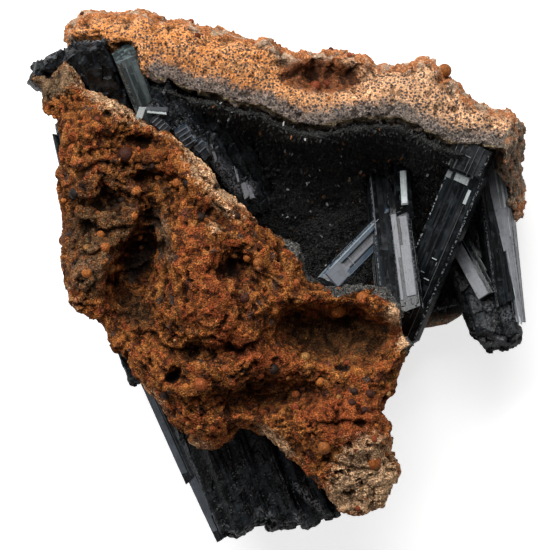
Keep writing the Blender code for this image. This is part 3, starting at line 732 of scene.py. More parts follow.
@dataclass(frozen=True)
class SpeckledLimonite:
    """The back wall's finish: orange with dark specks, grey along the hollow."""

    orange: Triple = (0.53, 0.205, 0.064)
    tan: Triple = (0.51, 0.24, 0.1)
    speck: Triple = (0.04, 0.037, 0.04)
    grey: Triple = (0.138, 0.12, 0.106)
    red: Triple = (0.33, 0.125, 0.048)
    dust: Triple = (0.33, 0.255, 0.185)
    sand: Triple = (0.57, 0.36, 0.22)
    near_black: Triple = (0.008, 0.008, 0.008)
    deep: Triple = (0.15, 0.05, 0.019)
    brown: Triple = (0.165, 0.128, 0.094)
    line: Triple = (0.12, 0.085, 0.03)

    def make(self) -> bpy.types.Material:
        """Builds the material.

        Returns:
            The material.
        """
        sheet = FinishSheet("speckled_limonite")
        place = sheet.place()
        blotch = sheet.noise(place, 0.25, 5.0, 0.6)
        colour = sheet.mix(sheet.rise(blotch, 0.35, 0.65), self.orange, self.tan)
        across = sheet.add("ShaderNodeSeparateXYZ", {0: place}).outputs[0]
        colour = sheet.mix(sheet.rise(across, -5.0, 28.0, 0.0, 0.6), colour, self.sand)
        patchy = sheet.noise(place, 0.7, 4.0, 0.6)
        band = sheet.math("MULTIPLY_ADD", patchy, 5.0, sheet.number("rim_gap"))
        banded = sheet.rise(band, 4.8, 7.6, 1.0, 0.0)
        speckle = sheet.noise(place, 2.0, 3.0, 0.6)
        dots = sheet.add("ShaderNodeTexVoronoi", {"Vector": place, "Scale": 1.45})
        amount = sheet.math("MULTIPLY_ADD", speckle, 0.8, dots.outputs["Distance"])
        specks = sheet.rise(amount, 0.765, 0.83, 0.9, 0.0)
        outer = sheet.math("ADD", sheet.number("outer"), sheet.math("MULTIPLY_ADD", patchy, 1.8, -0.9))
        outer = sheet.rise(outer, 0.45, 0.8)
        specks = sheet.math("MULTIPLY", specks, sheet.math("SUBTRACT", 1.0, outer))
        crust = sheet.mix(sheet.rise(blotch, 0.49, 0.58, 0.0, 0.85), self.red, self.dust)
        colour = sheet.mix(sheet.math("MULTIPLY", outer, 0.92), colour, crust)
        colour = sheet.mix(sheet.math("MULTIPLY", banded, 0.92), colour, self.grey)
        colour = sheet.mix(specks, colour, self.speck)
        side = sheet.math("ADD", sheet.number("side"), sheet.math("MULTIPLY_ADD", patchy, 0.6, -0.3))
        earthy = sheet.mix(sheet.rise(patchy, 0.48, 0.62, 0.0, 0.6), self.brown, self.red)
        colour = sheet.mix(sheet.rise(side, 0.3, 0.7), colour, earthy)
        colour = sheet.mix(sheet.rise(sheet.number("rim_gap"), 0.2, 0.5, 0.6, 0.0), colour, self.line)
        colour = sheet.mix(sheet.number("within"), colour, self.near_black)
        colour = sheet.mix(sheet.rise(sheet.number("pit"), 0.25, 0.7, 0.0, 0.92), colour, self.deep)
        colour, height = grain_and_painted_shade(sheet, colour, (0.7, 0.3))
        return sheet.finish(colour, sheet.rise(specks, 0.0, 1.0, 0.9, 0.6), height, 0.16, STONE_GLOSS)


@dataclass(frozen=True)
class OoidSkin:
    """The finish of the ooids: waxy balls of iron oxide, from pale clay to dark red."""

    shades: tuple[Triple, ...] = (
        (0.022, 0.017, 0.014), (0.09, 0.024, 0.012), (0.24, 0.055, 0.020), (0.40, 0.130, 0.030),
        (0.24, 0.082, 0.022), (0.30, 0.145, 0.045), (0.50, 0.40, 0.28),
    )

    def make(self) -> bpy.types.Material:
        """Builds the material.

        Returns:
            The material.
        """
        sheet = FinishSheet("ooid_skin")
        stops = [(0.02 + 0.96 * k / (len(self.shades) - 1), c) for k, c in enumerate(self.shades)]
        colour = sheet.ramp(sheet.number("tint"), stops)
        colour, height = grain_and_painted_shade(sheet, colour, (0.5, 0.4))
        return sheet.finish(colour, sheet.rise(height, 0.2, 1.0, 0.45, 0.8), height, 0.10, STONE_GLOSS)


@dataclass(frozen=True)
class BlackDruse:
    """The finish of the hollow's crust and its tiny crystals, with painted sparkles on a few of them."""

    black: Triple = (0.0115, 0.0115, 0.011)
    smoky: Triple = (0.026, 0.026, 0.024)
    grey: Triple = (0.075, 0.075, 0.07)
    rust: Triple = (0.22, 0.085, 0.03)
    painted_sparkle: Triple = (0.62, 0.62, 0.6)
    gloss: float = 0.35

    def make(self) -> bpy.types.Material:
        """Builds the material.

        Returns:
            The material.
        """
        sheet = FinishSheet("black_druse")
        place = sheet.place()
        blotch = sheet.noise(place, 0.5, 4.0, 0.6)
        colour = sheet.mix(sheet.rise(blotch, 0.4, 0.7), self.black, self.smoky)
        rusty = sheet.noise(place, 0.42, 6.0, 0.75)
        colour = sheet.mix(sheet.rise(rusty, 0.68, 0.72), colour, self.rust)
        tint = sheet.number("tint")
        colour = sheet.mix(sheet.rise(tint, 0.40, 0.80, 0.0, 0.6), colour, self.grey)
        # Painted sparkle: a few tiny crystals are near white, as if catching the light.
        colour = sheet.mix(sheet.rise(tint, 0.838, 0.85), colour, self.painted_sparkle)
        colour = sheet.mix(sheet.math("COMPARE", tint, 0.105, 0.005), colour, self.rust)
        grain = sheet.add("ShaderNodeGroup", {"Place": place}, node_tree=stone_grain_group())
        rough = sheet.rise(sheet.noise(place, 2.0, 2.0), 0.35, 0.65, 0.18, 0.55)
        return sheet.finish(colour, rough, grain.outputs["Height"], 0.3, self.gloss)


@dataclass(frozen=True)
class Vivianite:
    """A crystal's finish: dark glass with striations, with painted pearly sheen and reflections where it
    has cleaved and painted glints on its edges.
    """

    name: str = "vivianite"
    dark: Triple = (0.0018, 0.0022, 0.0026)
    lit: Triple = (0.0115, 0.015, 0.0185)
    smoke: Triple = (0.036, 0.043, 0.048)
    # The colour of the painted sheen, and of the painted highlight on the brightest places.
    painted_sheen: Triple = (0.3, 0.305, 0.33)
    gleam: Triple = (0.62, 0.68, 0.68)
    blue: Triple = (0.07, 0.16, 0.27)
    roughness: Pair = (0.08, 0.24)
    broken: float = 0.0
    flecks: Triple = (0.3, 0.42, 0.55)
    gloss: float = 0.5

    def make(self) -> bpy.types.Material:
        """Builds the material.

        Returns:
            The material.
        """
        sheet = FinishSheet(self.name)
        grain = sheet.add("ShaderNodeAttribute", attribute_name="grain").outputs["Vector"]
        striations = sheet.add("ShaderNodeGroup", {"Grain": grain}, node_tree=striation_group()).outputs
        lines, broad, cloud, fleck = [striations[k] for k in ("Lines", "Broad", "Cloud", "Fleck")]
        colour = sheet.mix(sheet.rise(broad, 0.48, 0.60), self.dark, self.lit)
        colour = sheet.mix(sheet.rise(cloud, 0.50, 0.66, 0.0, 0.6), colour, self.smoke)
        colour = sheet.mix(sheet.rise(lines, 0.54, 0.62, 0.0, 0.6), colour, self.dark)
        # Painted sheen and reflections on cleaved faces, painted glints on the edges and along the lines,
        # and a painted highlight where the sheen is strongest.
        painted_sheen_share = sheet.math("MULTIPLY", sheet.number("painted_sheen"), sheet.rise(cloud, 0.25, 0.6, 0.72, 1.0))
        painted_sheen_share = sheet.math("MULTIPLY", painted_sheen_share, sheet.rise(lines, 0.36, 0.5, 0.72, 1.05))
        painted_sheen_share = sheet.math("MULTIPLY", painted_sheen_share, sheet.rise(fleck, *self.flecks, 1.05))
        painted_edge_glints = sheet.math("MULTIPLY", sheet.number("edge_glint"), sheet.rise(fleck, 0.51, 0.60))
        glint = sheet.rise(lines, 0.64, 0.70, 0.0, 0.16)
        glint = sheet.math("MULTIPLY", glint, sheet.rise(fleck, 0.50, 0.56))
        painted_sheen_share = sheet.math("MAXIMUM", sheet.math("MAXIMUM", painted_sheen_share, painted_edge_glints), glint)
        gleam = sheet.rise(sheet.number("painted_sheen"), 0.80, 0.95, 0.0, 0.8)
        gleam = sheet.math("MAXIMUM", gleam, sheet.math("MULTIPLY", painted_edge_glints, 0.7))
        colour = sheet.mix(painted_sheen_share, colour, sheet.mix(gleam, self.painted_sheen, self.gleam))
        bluish = sheet.math("MULTIPLY", sheet.number("blue"), sheet.rise(cloud, 0.3, 0.6, 0.4, 1.2))
        colour = sheet.mix(bluish, colour, self.blue)
        rough = sheet.math("MULTIPLY_ADD", painted_sheen_share, 0.25, sheet.rise(cloud, 0.3, 0.7, *self.roughness))
        height = sheet.math("MULTIPLY_ADD", fleck, self.broken, sheet.math("ADD", lines, broad))
        return sheet.finish(colour, rough, height, 0.035 + 0.04 * self.broken, self.gloss)


BROKEN_VIVIANITE = Vivianite(
    "broken_vivianite", roughness=(0.14, 0.34), broken=1.5, flecks=(0.47, 0.54, 0.0), gloss=0.35
)
GREEN_VIVIANITE = Vivianite(
    "green_vivianite", dark=(0.028, 0.038, 0.04), lit=(0.09, 0.12, 0.125), smoke=(0.17, 0.21, 0.21),
    painted_sheen=(0.38, 0.43, 0.43),
)


class Habit(Enum):
    """How a crystal has grown and broken: its steps' width and height, and its plates."""

    GLASSY = (1.3, 0.30, 9.0, 0.08)
    STUBBY = (0.7, 0.35, 0.0, 0.1)


@dataclass(frozen=True)
class Plate:
    """A thin raised plate, in the crystal's frame; its sides go 0, 1, 2, 3 from the upper one."""

    left: float
    right: float
    low: float
    high: float
    rise: float
    # How much painted sheen and blue it has.
    painted_sheen: float = 0.0
    blue: float = 0.0
    side: int = 0


@dataclass(frozen=True)
class Prism:
    """One flattened crystal with chamfered edges, from its root to its tip."""

    root: Triple
    tip: Triple
    width: float
    depth: float
    lean: float = 0.0
    chamfer: float = 0.28
    taper: float = 0.9
    tip_slopes: tuple[Pair, ...] = ((35, 0), (0, 25))
    # Painted sheen on each of its four sides, then painted edge glint on its chamfers and blue on its ends.
    painted_sheen: Row = (0.0, 0.0, 0.0, 0.0)
    edge: Pair = (0.03, 0.0)
    plates: tuple[Row, ...] = ()
    root_slopes: tuple[Pair, ...] = ()

    @property
    def length(self) -> float:
        """From the root to the tip."""
        return (Vector(self.tip) - Vector(self.root)).length

    @property
    def cut(self) -> float:
        """How wide its chamfers are."""
        return self.chamfer * min(self.width, self.depth)

    @property
    def back(self) -> float:
        """How far before its tip the cuts of its ends cross its axis."""
        return 0.12 * min(self.width, self.depth)

    def frame(self) -> Matrix:
        """Where the crystal lies: its side, its face and its axis, centred half way along."""
        root, tip = Vector(self.root), Vector(self.tip)
        axis = (tip - root).normalized()
        up = Vector((0.0, 0.0, 1.0))
        up = (up - axis * up.dot(axis)).normalized()
        face = Matrix.Rotation(math.radians(self.lean), 3, axis) @ up
        placed = Matrix((face.cross(axis), face, axis)).transposed().to_4x4()
        placed.translation = (root + tip) / 2
        return placed

    def scale(self, z: float) -> float:
        """The section's size at a height along the axis, against the root's."""
        return 1.0 + (self.taper - 1.0) * (z / self.length + 0.5)

    def end(self, x: float, y: float) -> float:
        """How far along the axis the crystal ends, at a place in its section."""
        flat = self.length / 2 - self.back
        slopes = [(math.tan(math.radians(a)), math.tan(math.radians(b))) for a, b in self.tip_slopes]
        return min(flat - a * x - b * y for a, b in slopes)


# What a crystal's finish reads from its faces: painted sheen, blue tint and painted edge glint.
LOOKS = ("painted_sheen", "blue", "edge_glint")
# A face whose normal is this near to a side's belongs to that side and isn't a chamfer.
FLAT_COSINE = 0.9


@dataclass
class CrystalMesh:
    """Gathers the faces of a bundle of crystals, with what its finish reads."""

    seed: int
    edit: bmesh.types.BMesh = field(default_factory=bmesh.new)

    def __post_init__(self) -> None:
        """Prepares the layers."""
        self.grain = self.edit.verts.layers.float_vector.new("grain")
        self.looks = [self.edit.faces.layers.float.new(name) for name in LOOKS]
        self.random = np.random.default_rng(self.seed)

    def finish(self, verts: list[bmesh.types.BMVert], placed: Matrix, shade: Shade) -> None:
        """Gives new vertices and their faces their layers, and puts them in place.

        Args:
            verts: The new vertices, in the crystal's own frame.
            placed: The crystal's frame.
            shade: Gives painted sheen, blue and painted edge glint for a face's own normal.
        """
        faces = {face for vert in verts for face in vert.link_faces}
        for face in faces:
            face.normal_update()
            for layer, value in zip(self.looks, shade(face.normal)):
                face[layer] = value
        offset = Vector(self.random.uniform(0.0, 60.0, 3))
        for vert in verts:
            vert[self.grain] = vert.co + offset
            vert.co = placed @ vert.co * MM

    def shader_of(self, prism: Prism, spread: float = 0.0) -> Shade:
        """How much painted sheen, blue and painted edge glint a crystal's faces have.

        Args:
            prism: The crystal.
            spread: How far a part of it may differ from the rest.

        Returns:
            A function that gives painted sheen, blue and painted edge glint for a normal.
        """
        shift = self.random.normal(0.0, spread) if spread else 0.0

        def shade(normal: Vector) -> Triple:
            """Painted sheen, blue and painted edge glint for one normal."""
            sides = ((normal.y, 0), (normal.x, 1), (-normal.y, 2), (-normal.x, 3))
            share, index = max(sides)
            # Chamfers get painted edge glint and ends get blue.
            if share < FLAT_COSINE:
                return 0.0, prism.edge[1], 0.0 if abs(normal.z) > 0.5 else prism.edge[0]
            value = prism.painted_sheen[index] + shift * (0.05 + prism.painted_sheen[index])
            return min(max(value, 0.0), 1.0), 0.0, 0.0

        return shade

    def shaft(self, prism: Prism) -> None:
        """Adds a crystal's main body, its chamfers uneven along its length.

        Args:
            prism: The crystal.
        """
        half_width, half_depth = prism.width / 2, prism.depth / 2
        rings = []
        heights = np.linspace(-prism.length / 2, prism.length / 2, max(4, int(prism.length / 1.8)))
        drift = np.cumsum(self.random.normal(0.0, 0.05, (len(heights), 4)), axis=0)
        for z, wander in zip(heights, drift):
            uneven = 0.8 + wander - wander.mean() + self.random.exponential(0.12, 4)
            cuts = prism.cut * np.clip(uneven, 0.5, 1.7)
            scale = prism.scale(z)
            ring = []
            for (sx, sy), cut in zip(((1, 1), (-1, 1), (-1, -1), (1, -1)), cuts):
                flat = (sx * (half_width - cut), sy * half_depth)
                steep = (sx * half_width, sy * (half_depth - cut))
                ring += [steep, flat] if sx * sy > 0 else [flat, steep]
            rings.append([self.edit.verts.new((x * scale, y * scale, z)) for x, y in ring])
        for low, high in zip(rings, rings[1:]):
            for k in range(8):
                m = (k + 1) % 8
                self.edit.faces.new((low[k], low[m], high[m], high[k]))
        self.edit.faces.new(list(reversed(rings[0])))
        self.edit.faces.new(rings[-1])
        verts = [vert for ring in rings for vert in ring]
        verts = self.cut_ends(prism, verts)
        self.finish(verts, prism.frame(), self.shader_of(prism))

    def cut_ends(self, prism: Prism, verts: list[bmesh.types.BMVert]) -> list[bmesh.types.BMVert]:
        """Cuts a shaft's ends to their slopes.

        Args:
            prism: The crystal.
            verts: The shaft's vertices.

        Returns:
            The vertices that are left and the new ones.
        """
        ends = [(1, s) for s in prism.tip_slopes] + [(-1, s) for s in prism.root_slopes]
        for end, (across, through) in ends:
            slope = Vector((math.tan(math.radians(across)), math.tan(math.radians(through)), end))
            faces = list(dict.fromkeys(face for vert in verts for face in vert.link_faces))
            edges = list(dict.fromkeys(edge for vert in verts for edge in vert.link_edges))
            cut = bmesh.ops.bisect_plane(
                self.edit,
                geom=verts + edges + faces,
                plane_co=(0.0, 0.0, end * (prism.length / 2 - prism.back)),
                plane_no=slope.normalized(),
                clear_outer=True,
            )
            rim = [part for part in cut["geom_cut"] if isinstance(part, bmesh.types.BMEdge)]
            bmesh.ops.edgeloop_fill(self.edit, edges=rim)
            fresh = [part for part in cut["geom_cut"] if isinstance(part, bmesh.types.BMVert)]
            verts = list(dict.fromkeys(vert for vert in verts + fresh if vert.is_valid))
        return verts

    def block(self, prism: Prism, corners: list[Triple], shade: Shade) -> None:
        """Adds a six-sided block.

        Args:
            prism: The crystal that it belongs to.
            corners: Its four lower corners, then the four above them, in the crystal's frame.
            shade: Gives painted sheen, blue and painted edge glint for a normal.
        """
        verts = [self.edit.verts.new(c) for c in corners]
        for k in ((3, 2, 1, 0), (4, 5, 6, 7), (0, 1, 5, 4), (1, 2, 6, 5), (2, 3, 7, 6), (3, 0, 4, 7)):
            self.edit.faces.new([verts[i] for i in k])
        self.finish(verts, prism.frame(), shade)

    def splinter_end(self, prism: Prism, cell: float, rise: float) -> None:
        """Breaks a crystal's end into steps.

        Args:
            prism: The crystal.
            cell: How wide a step is.
            rise: How far the highest steps reach past the end.
        """
        scale = prism.taper
        half_width, half_depth = prism.width / 2 * scale, prism.depth / 2 * scale
        chamfer = prism.cut * 0.8
        columns = self.breaks(2 * half_width, cell) - half_width
        for left, right in zip(columns, columns[1:]):
            rows = self.breaks(2 * half_depth, cell * 1.3) - half_depth
            for low, high in zip(rows, rows[1:]):
                inset = max(0.0, chamfer - (half_width - max(abs(left), abs(right))))
                y0, y1 = max(low, -half_depth + inset), min(high, half_depth - inset)
                if y1 - y0 < 0.15:
                    continue
                lift = self.random.uniform(-0.35, 1.0) * rise
                start = prism.end((left + right) / 2, (y0 + y1) / 2) - self.random.uniform(1.5, 4.0)
                plan = ((left, y0), (right, y0), (right, y1), (left, y1))
                corners = [(x, y, start) for x, y in plan]
                corners += [(x, y, prism.end(x, y) + lift) for x, y in plan]
                self.block(prism, corners, self.shader_of(prism, 0.2))

    def breaks(self, total: float, cell: float) -> np.ndarray:
        """Uneven breaks across a length.

        Args:
            total: The length.
            cell: The usual distance between breaks.

        Returns:
            The breaks' places, from 0 to the length.
        """
        count = max(2, round(total / cell))
        parts = self.random.uniform(0.5, 1.5, count)
        return np.concatenate(([0.0], np.cumsum(parts))) / parts.sum() * total

    def plate(self, prism: Prism, plate: Plate, shade: Shade) -> None:
        """Adds a thin raised plate on one of a crystal's four main sides.

        Args:
            prism: The crystal.
            plate: Where the plate lies.
            shade: Gives painted sheen, blue and painted edge glint for a normal.
        """
        u0, u1, z0, z1, rise = plate.left, plate.right, plate.low, plate.high, plate.rise
        turn = Matrix.Rotation(-plate.side * math.pi / 2, 3, "Z")
        height = (prism.depth if plate.side % 2 == 0 else prism.width) / 2
        bevel = min(0.4 * rise + 0.04, (u1 - u0) / 3)
        corners = []
        for inset, lift in ((0.0, -0.15), (bevel, rise)):
            left, right, low, high = u0 + inset, u1 - inset, z0 + inset, z1 - inset
            for u, z in ((left, low), (left, high), (right, high), (right, low)):
                scale = prism.scale(z)
                corners.append(tuple(turn @ Vector((u * scale, height * scale + lift, z))))
        self.block(prism, corners, shade)

    def random_plates(self, prism: Prism, per_area: float, rise: float) -> None:
        """Scatters raised plates over a crystal's four main sides.

        Args:
            prism: The crystal.
            per_area: How many there are in a square centimetre.
            rise: How far the highest stand proud.
        """
        for side in range(4):
            span = (prism.width if side % 2 == 0 else prism.depth) - 2 * prism.cut
            if span < 0.5:
                continue
            for _ in range(int(per_area * span * prism.length / 100)):
                wide = min(span * 0.9, self.random.uniform(0.25, 1.6))
                u0 = self.random.uniform(-span / 2, span / 2 - wide)
                long = self.random.uniform(0.1, 0.6) * prism.length
                z0 = self.random.uniform(-0.48 * prism.length, 0.45 * prism.length)
                wide_half, deep_half = prism.width / 2, prism.depth / 2
                x, y = ((u0, deep_half), (wide_half, u0), (u0, -deep_half), (-wide_half, u0))[side]
                z1 = min(z0 + long, prism.end(x, y) - 0.3)
                if z1 - z0 < 1.0:
                    continue
                lift = self.random.uniform(0.25, 1.0) * rise
                plate = Plate(u0, u0 + wide, z0, z1, lift, side=side)
                self.plate(prism, plate, self.shader_of(prism, 0.3))

    def grow(self, prism: Prism, habit: Habit) -> None:
        """Adds a whole crystal.

        Args:
            prism: The crystal.
            habit: How it has grown and broken.
        """
        cell, rise, per_area, plate_rise = habit.value
        self.shaft(prism)
        self.splinter_end(prism, cell, rise)
        self.random_plates(prism, per_area, plate_rise)
        for row in prism.plates:
            plate = Plate(*row)
            self.plate(prism, plate, lambda _, looks=(plate.painted_sheen, plate.blue, 0.0): looks)

    def to_mesh(self, name: str) -> bpy.types.Mesh:
        """Turns what was gathered into a mesh."""
        bmesh.ops.recalc_face_normals(self.edit, faces=self.edit.faces)
        mesh = bpy.data.meshes.new(name)
        self.edit.to_mesh(mesh)
        self.edit.free()
        return mesh


@dataclass
class CrystalBundle:
    """Crystals that have grown together."""

    solid: str
    prisms: list[Prism]
    habit: Habit
    seed: int
    slot: str = "vivianite"
    name: str = ""

    def build(self, finish: bpy.types.Material) -> bpy.types.Object:
        """Builds the bundle in place of its solid, if it has one.

        Args:
            finish: Its material.

        Returns:
            The piece.
        """
        gathered = CrystalMesh(self.seed)
        for prism in self.prisms:
            gathered.grow(prism, self.habit)
        name = self.name or self.solid + "_faces"
        mesh = gathered.to_mesh(name)
        mesh.materials.append(finish)
        piece = new_object(name, mesh)
        present(piece, self.solid)
        return piece


LONG_CRYSTAL = CrystalBundle("long_crystal", [
    Prism((44.1, 24, 33.6), (27.3, -16.3, 25.5), 8.4, 6.6, 12, 0.07, 0.96, ((30, 0), (-35, 20)),
          (0, 0.05, 0, 0), (0.8, 0), (
        (-4.1, -2.7, -20.4, -18.6, 0.3, 0.85), (-2.1, 1.5, -20.7, -18.7, 0.34, 1),
        (1.9, 2.9, -18.2, -14.6, 0.3, 1), (2.3, 2.5, -14.4, 18, 0.45, 0.5), (2.6, 3.6, -21, 20, 0.2, 0),
        (-2.6, 1.6, -22.5, -21.2, 0.42, 0.05), (0.3, 1.7, -0.7, -0.3, 0.35, 0.95),
        (1.7, 2.1, 0, 0.9, 0.35, 0.8), (-0.9, 0.2, 3.1, 3.5, 0.3, 0.8), (0.4, 1.9, 4.3, 4.7, 0.35, 0.9),
        (0.5, 0.8, 7.4, 9, 0.3, 0.75), (-1.6, -0.5, 5.6, 5.85, 0.3, 0.6), (1.4, 2.2, -14, -3, 0.16, 0.06),
        (-2.2, -1.5, -13, 4, 0.2, 0.035), (-0.9, -0.3, -15, -9, 0.2, 0.04), (-0.4, 0.1, -7, 2, 0.2, 0.05),
        (-1.2, -0.9, -19, 17, 0.2, 0.5, 0, 3), (-1.9, -1.5, 7.2, 7.9, 0.3, 0.9),
        (-1.2, 0.4, 9.6, 9.85, 0.3, 0.85), (-2, -0.9, 11.3, 11.6, 0.3, 0.6), (1, 1.3, 11, 14, 0.3, 0.5),
        (-0.2, 0.9, 13, 13.3, 0.3, 0.8),
    )),
    Prism((45.6, 29.7, 38.8), (42.3, 22.5, 36.8), 8.5, 6, 12, 0.08, 1, ((4, 14),),
          (0.06, 0, 0, 0), (0.7, 0), (
        (-2.4, -1.9, -3, 3.2, 0.2, 0.35), (1.1, 1.3, -4, 3.4, 0.2, 0.6), (2.2, 2.8, -4, 3.4, 0.25, 0.1),
        (-1.2, 0.6, -1, -0.7, 0.2, 0.7), (-3.6, -3.3, -3, 3, 0.2, 0.85), (0.2, 0.5, -0.4, 2.6, 0.2, 0.4),
    )),
], Habit.GLASSY, 11)

MIDDLE_CRYSTALS = CrystalBundle("middle_crystals", [
    Prism((23, 25.4, 17.2), (25.7, -7, 37.2), 5, 5.4, -14, 0.06, 1, ((-20, -34),),
          (0.02, 0, 0, 0.05), (0.5, 0.05), (
        (-2.3, -2.1, -16, 2, 0.3, 0.8),
    )),
    Prism((28.9, 27.4, 21.6), (29.3, 13.7, 31.5), 4, 5.4, 8, 0.22, 0.95, ((12, 30),),
          (0, 0, 0, 0), (0.03, 0), (
        (-0.5, 1.2, -1.8, 7.6, 0.35, 0.95),
    )),
    Prism((28, 17.8, 26), (30.8, -7.7, 40.5), 4.5, 5, 12, 0.07, 1, ((14, -34),),
          (0.02, 0.02, 0, 0), (0.3, 0), (
        (-1.95, -1.15, -9, 13.4, 0.22, 0.6), (-1.5, -0.55, -9, 2.6, 0.18, 0.6),
        (0, 1.9, -8, 12.9, 0.3, 0.58), (-0.55, 0.4, -0.6, 12.9, 0.27, 0.58),
    )),
    Prism((26.3, 13.1, 24.4), (11.1, -2.4, 33), 5.4, 4.6, -10, 0.12, 0.96, ((24, 10),),
          (0.75, 0.02, 0, 0.02), (0.6, 0.35), (
        (-2.3, -1.2, -8, 6.8, 0.4, 0.35, 0.35), (0.9, 2.3, -8, 6.4, 0.4, 0.12, 0.25),
        (-2.3, 2.2, 6, 10.6, 0.42, 0.62, 0.12), (-1.6, 1.4, 3.6, 4, 0.5, 0.9),
        (-1.2, -0.95, -8, 5.6, 0.46, 0), (0.7, 0.95, -8, 5, 0.46, 0), (-2.4, -2.1, -8, 9, 0.5, 0.9, 0.1),
        (2, 2.25, -8, 7, 0.46, 0.7, 0.3),
    )),
], Habit.GLASSY, 12)

RIGHT_CRYSTALS = CrystalBundle("right_crystals", [
    Prism((46.8, 29, 25.2), (52.3, -8.2, 25.6), 5.6, 7.8, -12, 0.1, 1.05, ((18, 20), (-30, -20)),
          (0, 0, 0, 0), (0.2, 0), (
        (-1.9, -0.4, -20, 12, 0.3, 0), (0.8, 1.1, -14, 20, 0.25, 0.06), (1.8, 2.4, -22, 20, 0.25, 0, 0.04),
    )),
    Prism((49.1, 29.7, 26.8), (55.7, -11, 28.2), 6.4, 6.2, 16, 0.06, 0.3, ((-14, -20),),
          (0.8, 0.6, 0, 0), (0.3, 0), (
        (-2.9, 0.3, -22, 4, 0.16, 0.78), (0.1, 2.2, -6, 19, 0.22, 0.76),
    )),
    Prism((38.9, 13.7, 19.2), (49, -5.4, 26.8), 4.5, 6.6, 14, 0.1, 1, ((-24, 4),),
          (0.03, 0, 0, 0), (0.1, 0), (
        (-2, 0.9, -9, 11.2, 0.2, 0.62), (1.3, 1.5, -9, 10.4, 0.2, 0.3),
    )),
], Habit.GLASSY, 13)

GREEN_CRYSTAL = CrystalBundle("green_crystal", [
    Prism((-25.9, 29.5, 28.5), (-33.9, 50, 41.8), 5.2, 5, 4, 0.16, 0.98, ((6, 10),),
          (0.08, 0.05, 0, 0.12), (0.4, 0), (
        (-1.9, -0.6, -6, 11, 0.16, 0.2), (0.7, 1.2, -3, 11.8, 0.14, 0.3), (-0.2, 0.5, -10, 8, 0.1, 0.06),
        (-1.6, 1.6, 10.2, 12.2, 0.08, 0.26),
    )),
], Habit.GLASSY, 15, "green_vivianite")

LOWER_EDGE = CrystalBundle("", [
    Prism((-33.6, -10.6, 24.6), (-10.8, -59.4, 19.6), 3.4, 6.4, 24, 0.06, 1, ((10, -4),),
          (0.03, 0, 0, 0.3), (0.25, 0), (
        (-2.8, 1.6, -14, 17, 0.1, 0.42, 0.08, 3), (-1, 2.8, 9, 26, 0.16, 0.36, 0.1, 3),
        (-1.5, -0.1, -22, 24.6, 0.1, 0.4, 0.1), (-1.5, 0.7, 6, 21, 0.14, 0.34, 0.12),
        (0.9, 1.1, -24, 20, 0.3, 0.5), (1.3, 1.45, -20, 26, 0.35, 0.3),
    )),
    Prism((-33.9, -11.2, 24.8), (-18.2, -46.4, 21.4), 3, 5.2, 24, 0.06, 1, ((20, 0),),
          (0.03, 0, 0, 0.36), (0.3, 0), (
        (-2.2, 1.2, -15, 8, 0.1, 0.3, 0.25, 3), (-1.3, 0.3, -15, 17, 0.1, 0.36, 0.12),
        (0.6, 0.8, -12, 18, 0.2, 0.6),
    )),
    Prism((-30.6, -10, 26.4), (-9.6, -58.6, 21.4), 2.4, 5, 10, 0.08, 1, ((-12, 4),),
          (0, 0, 0, 0.1), (0.3, 0), (
        (-0.9, -0.7, -20, 25, 0.2, 0.5), (0.5, 0.9, -20, 22, 0.25, 0.1),
    )),
], Habit.GLASSY, 20, name="lower_edge")

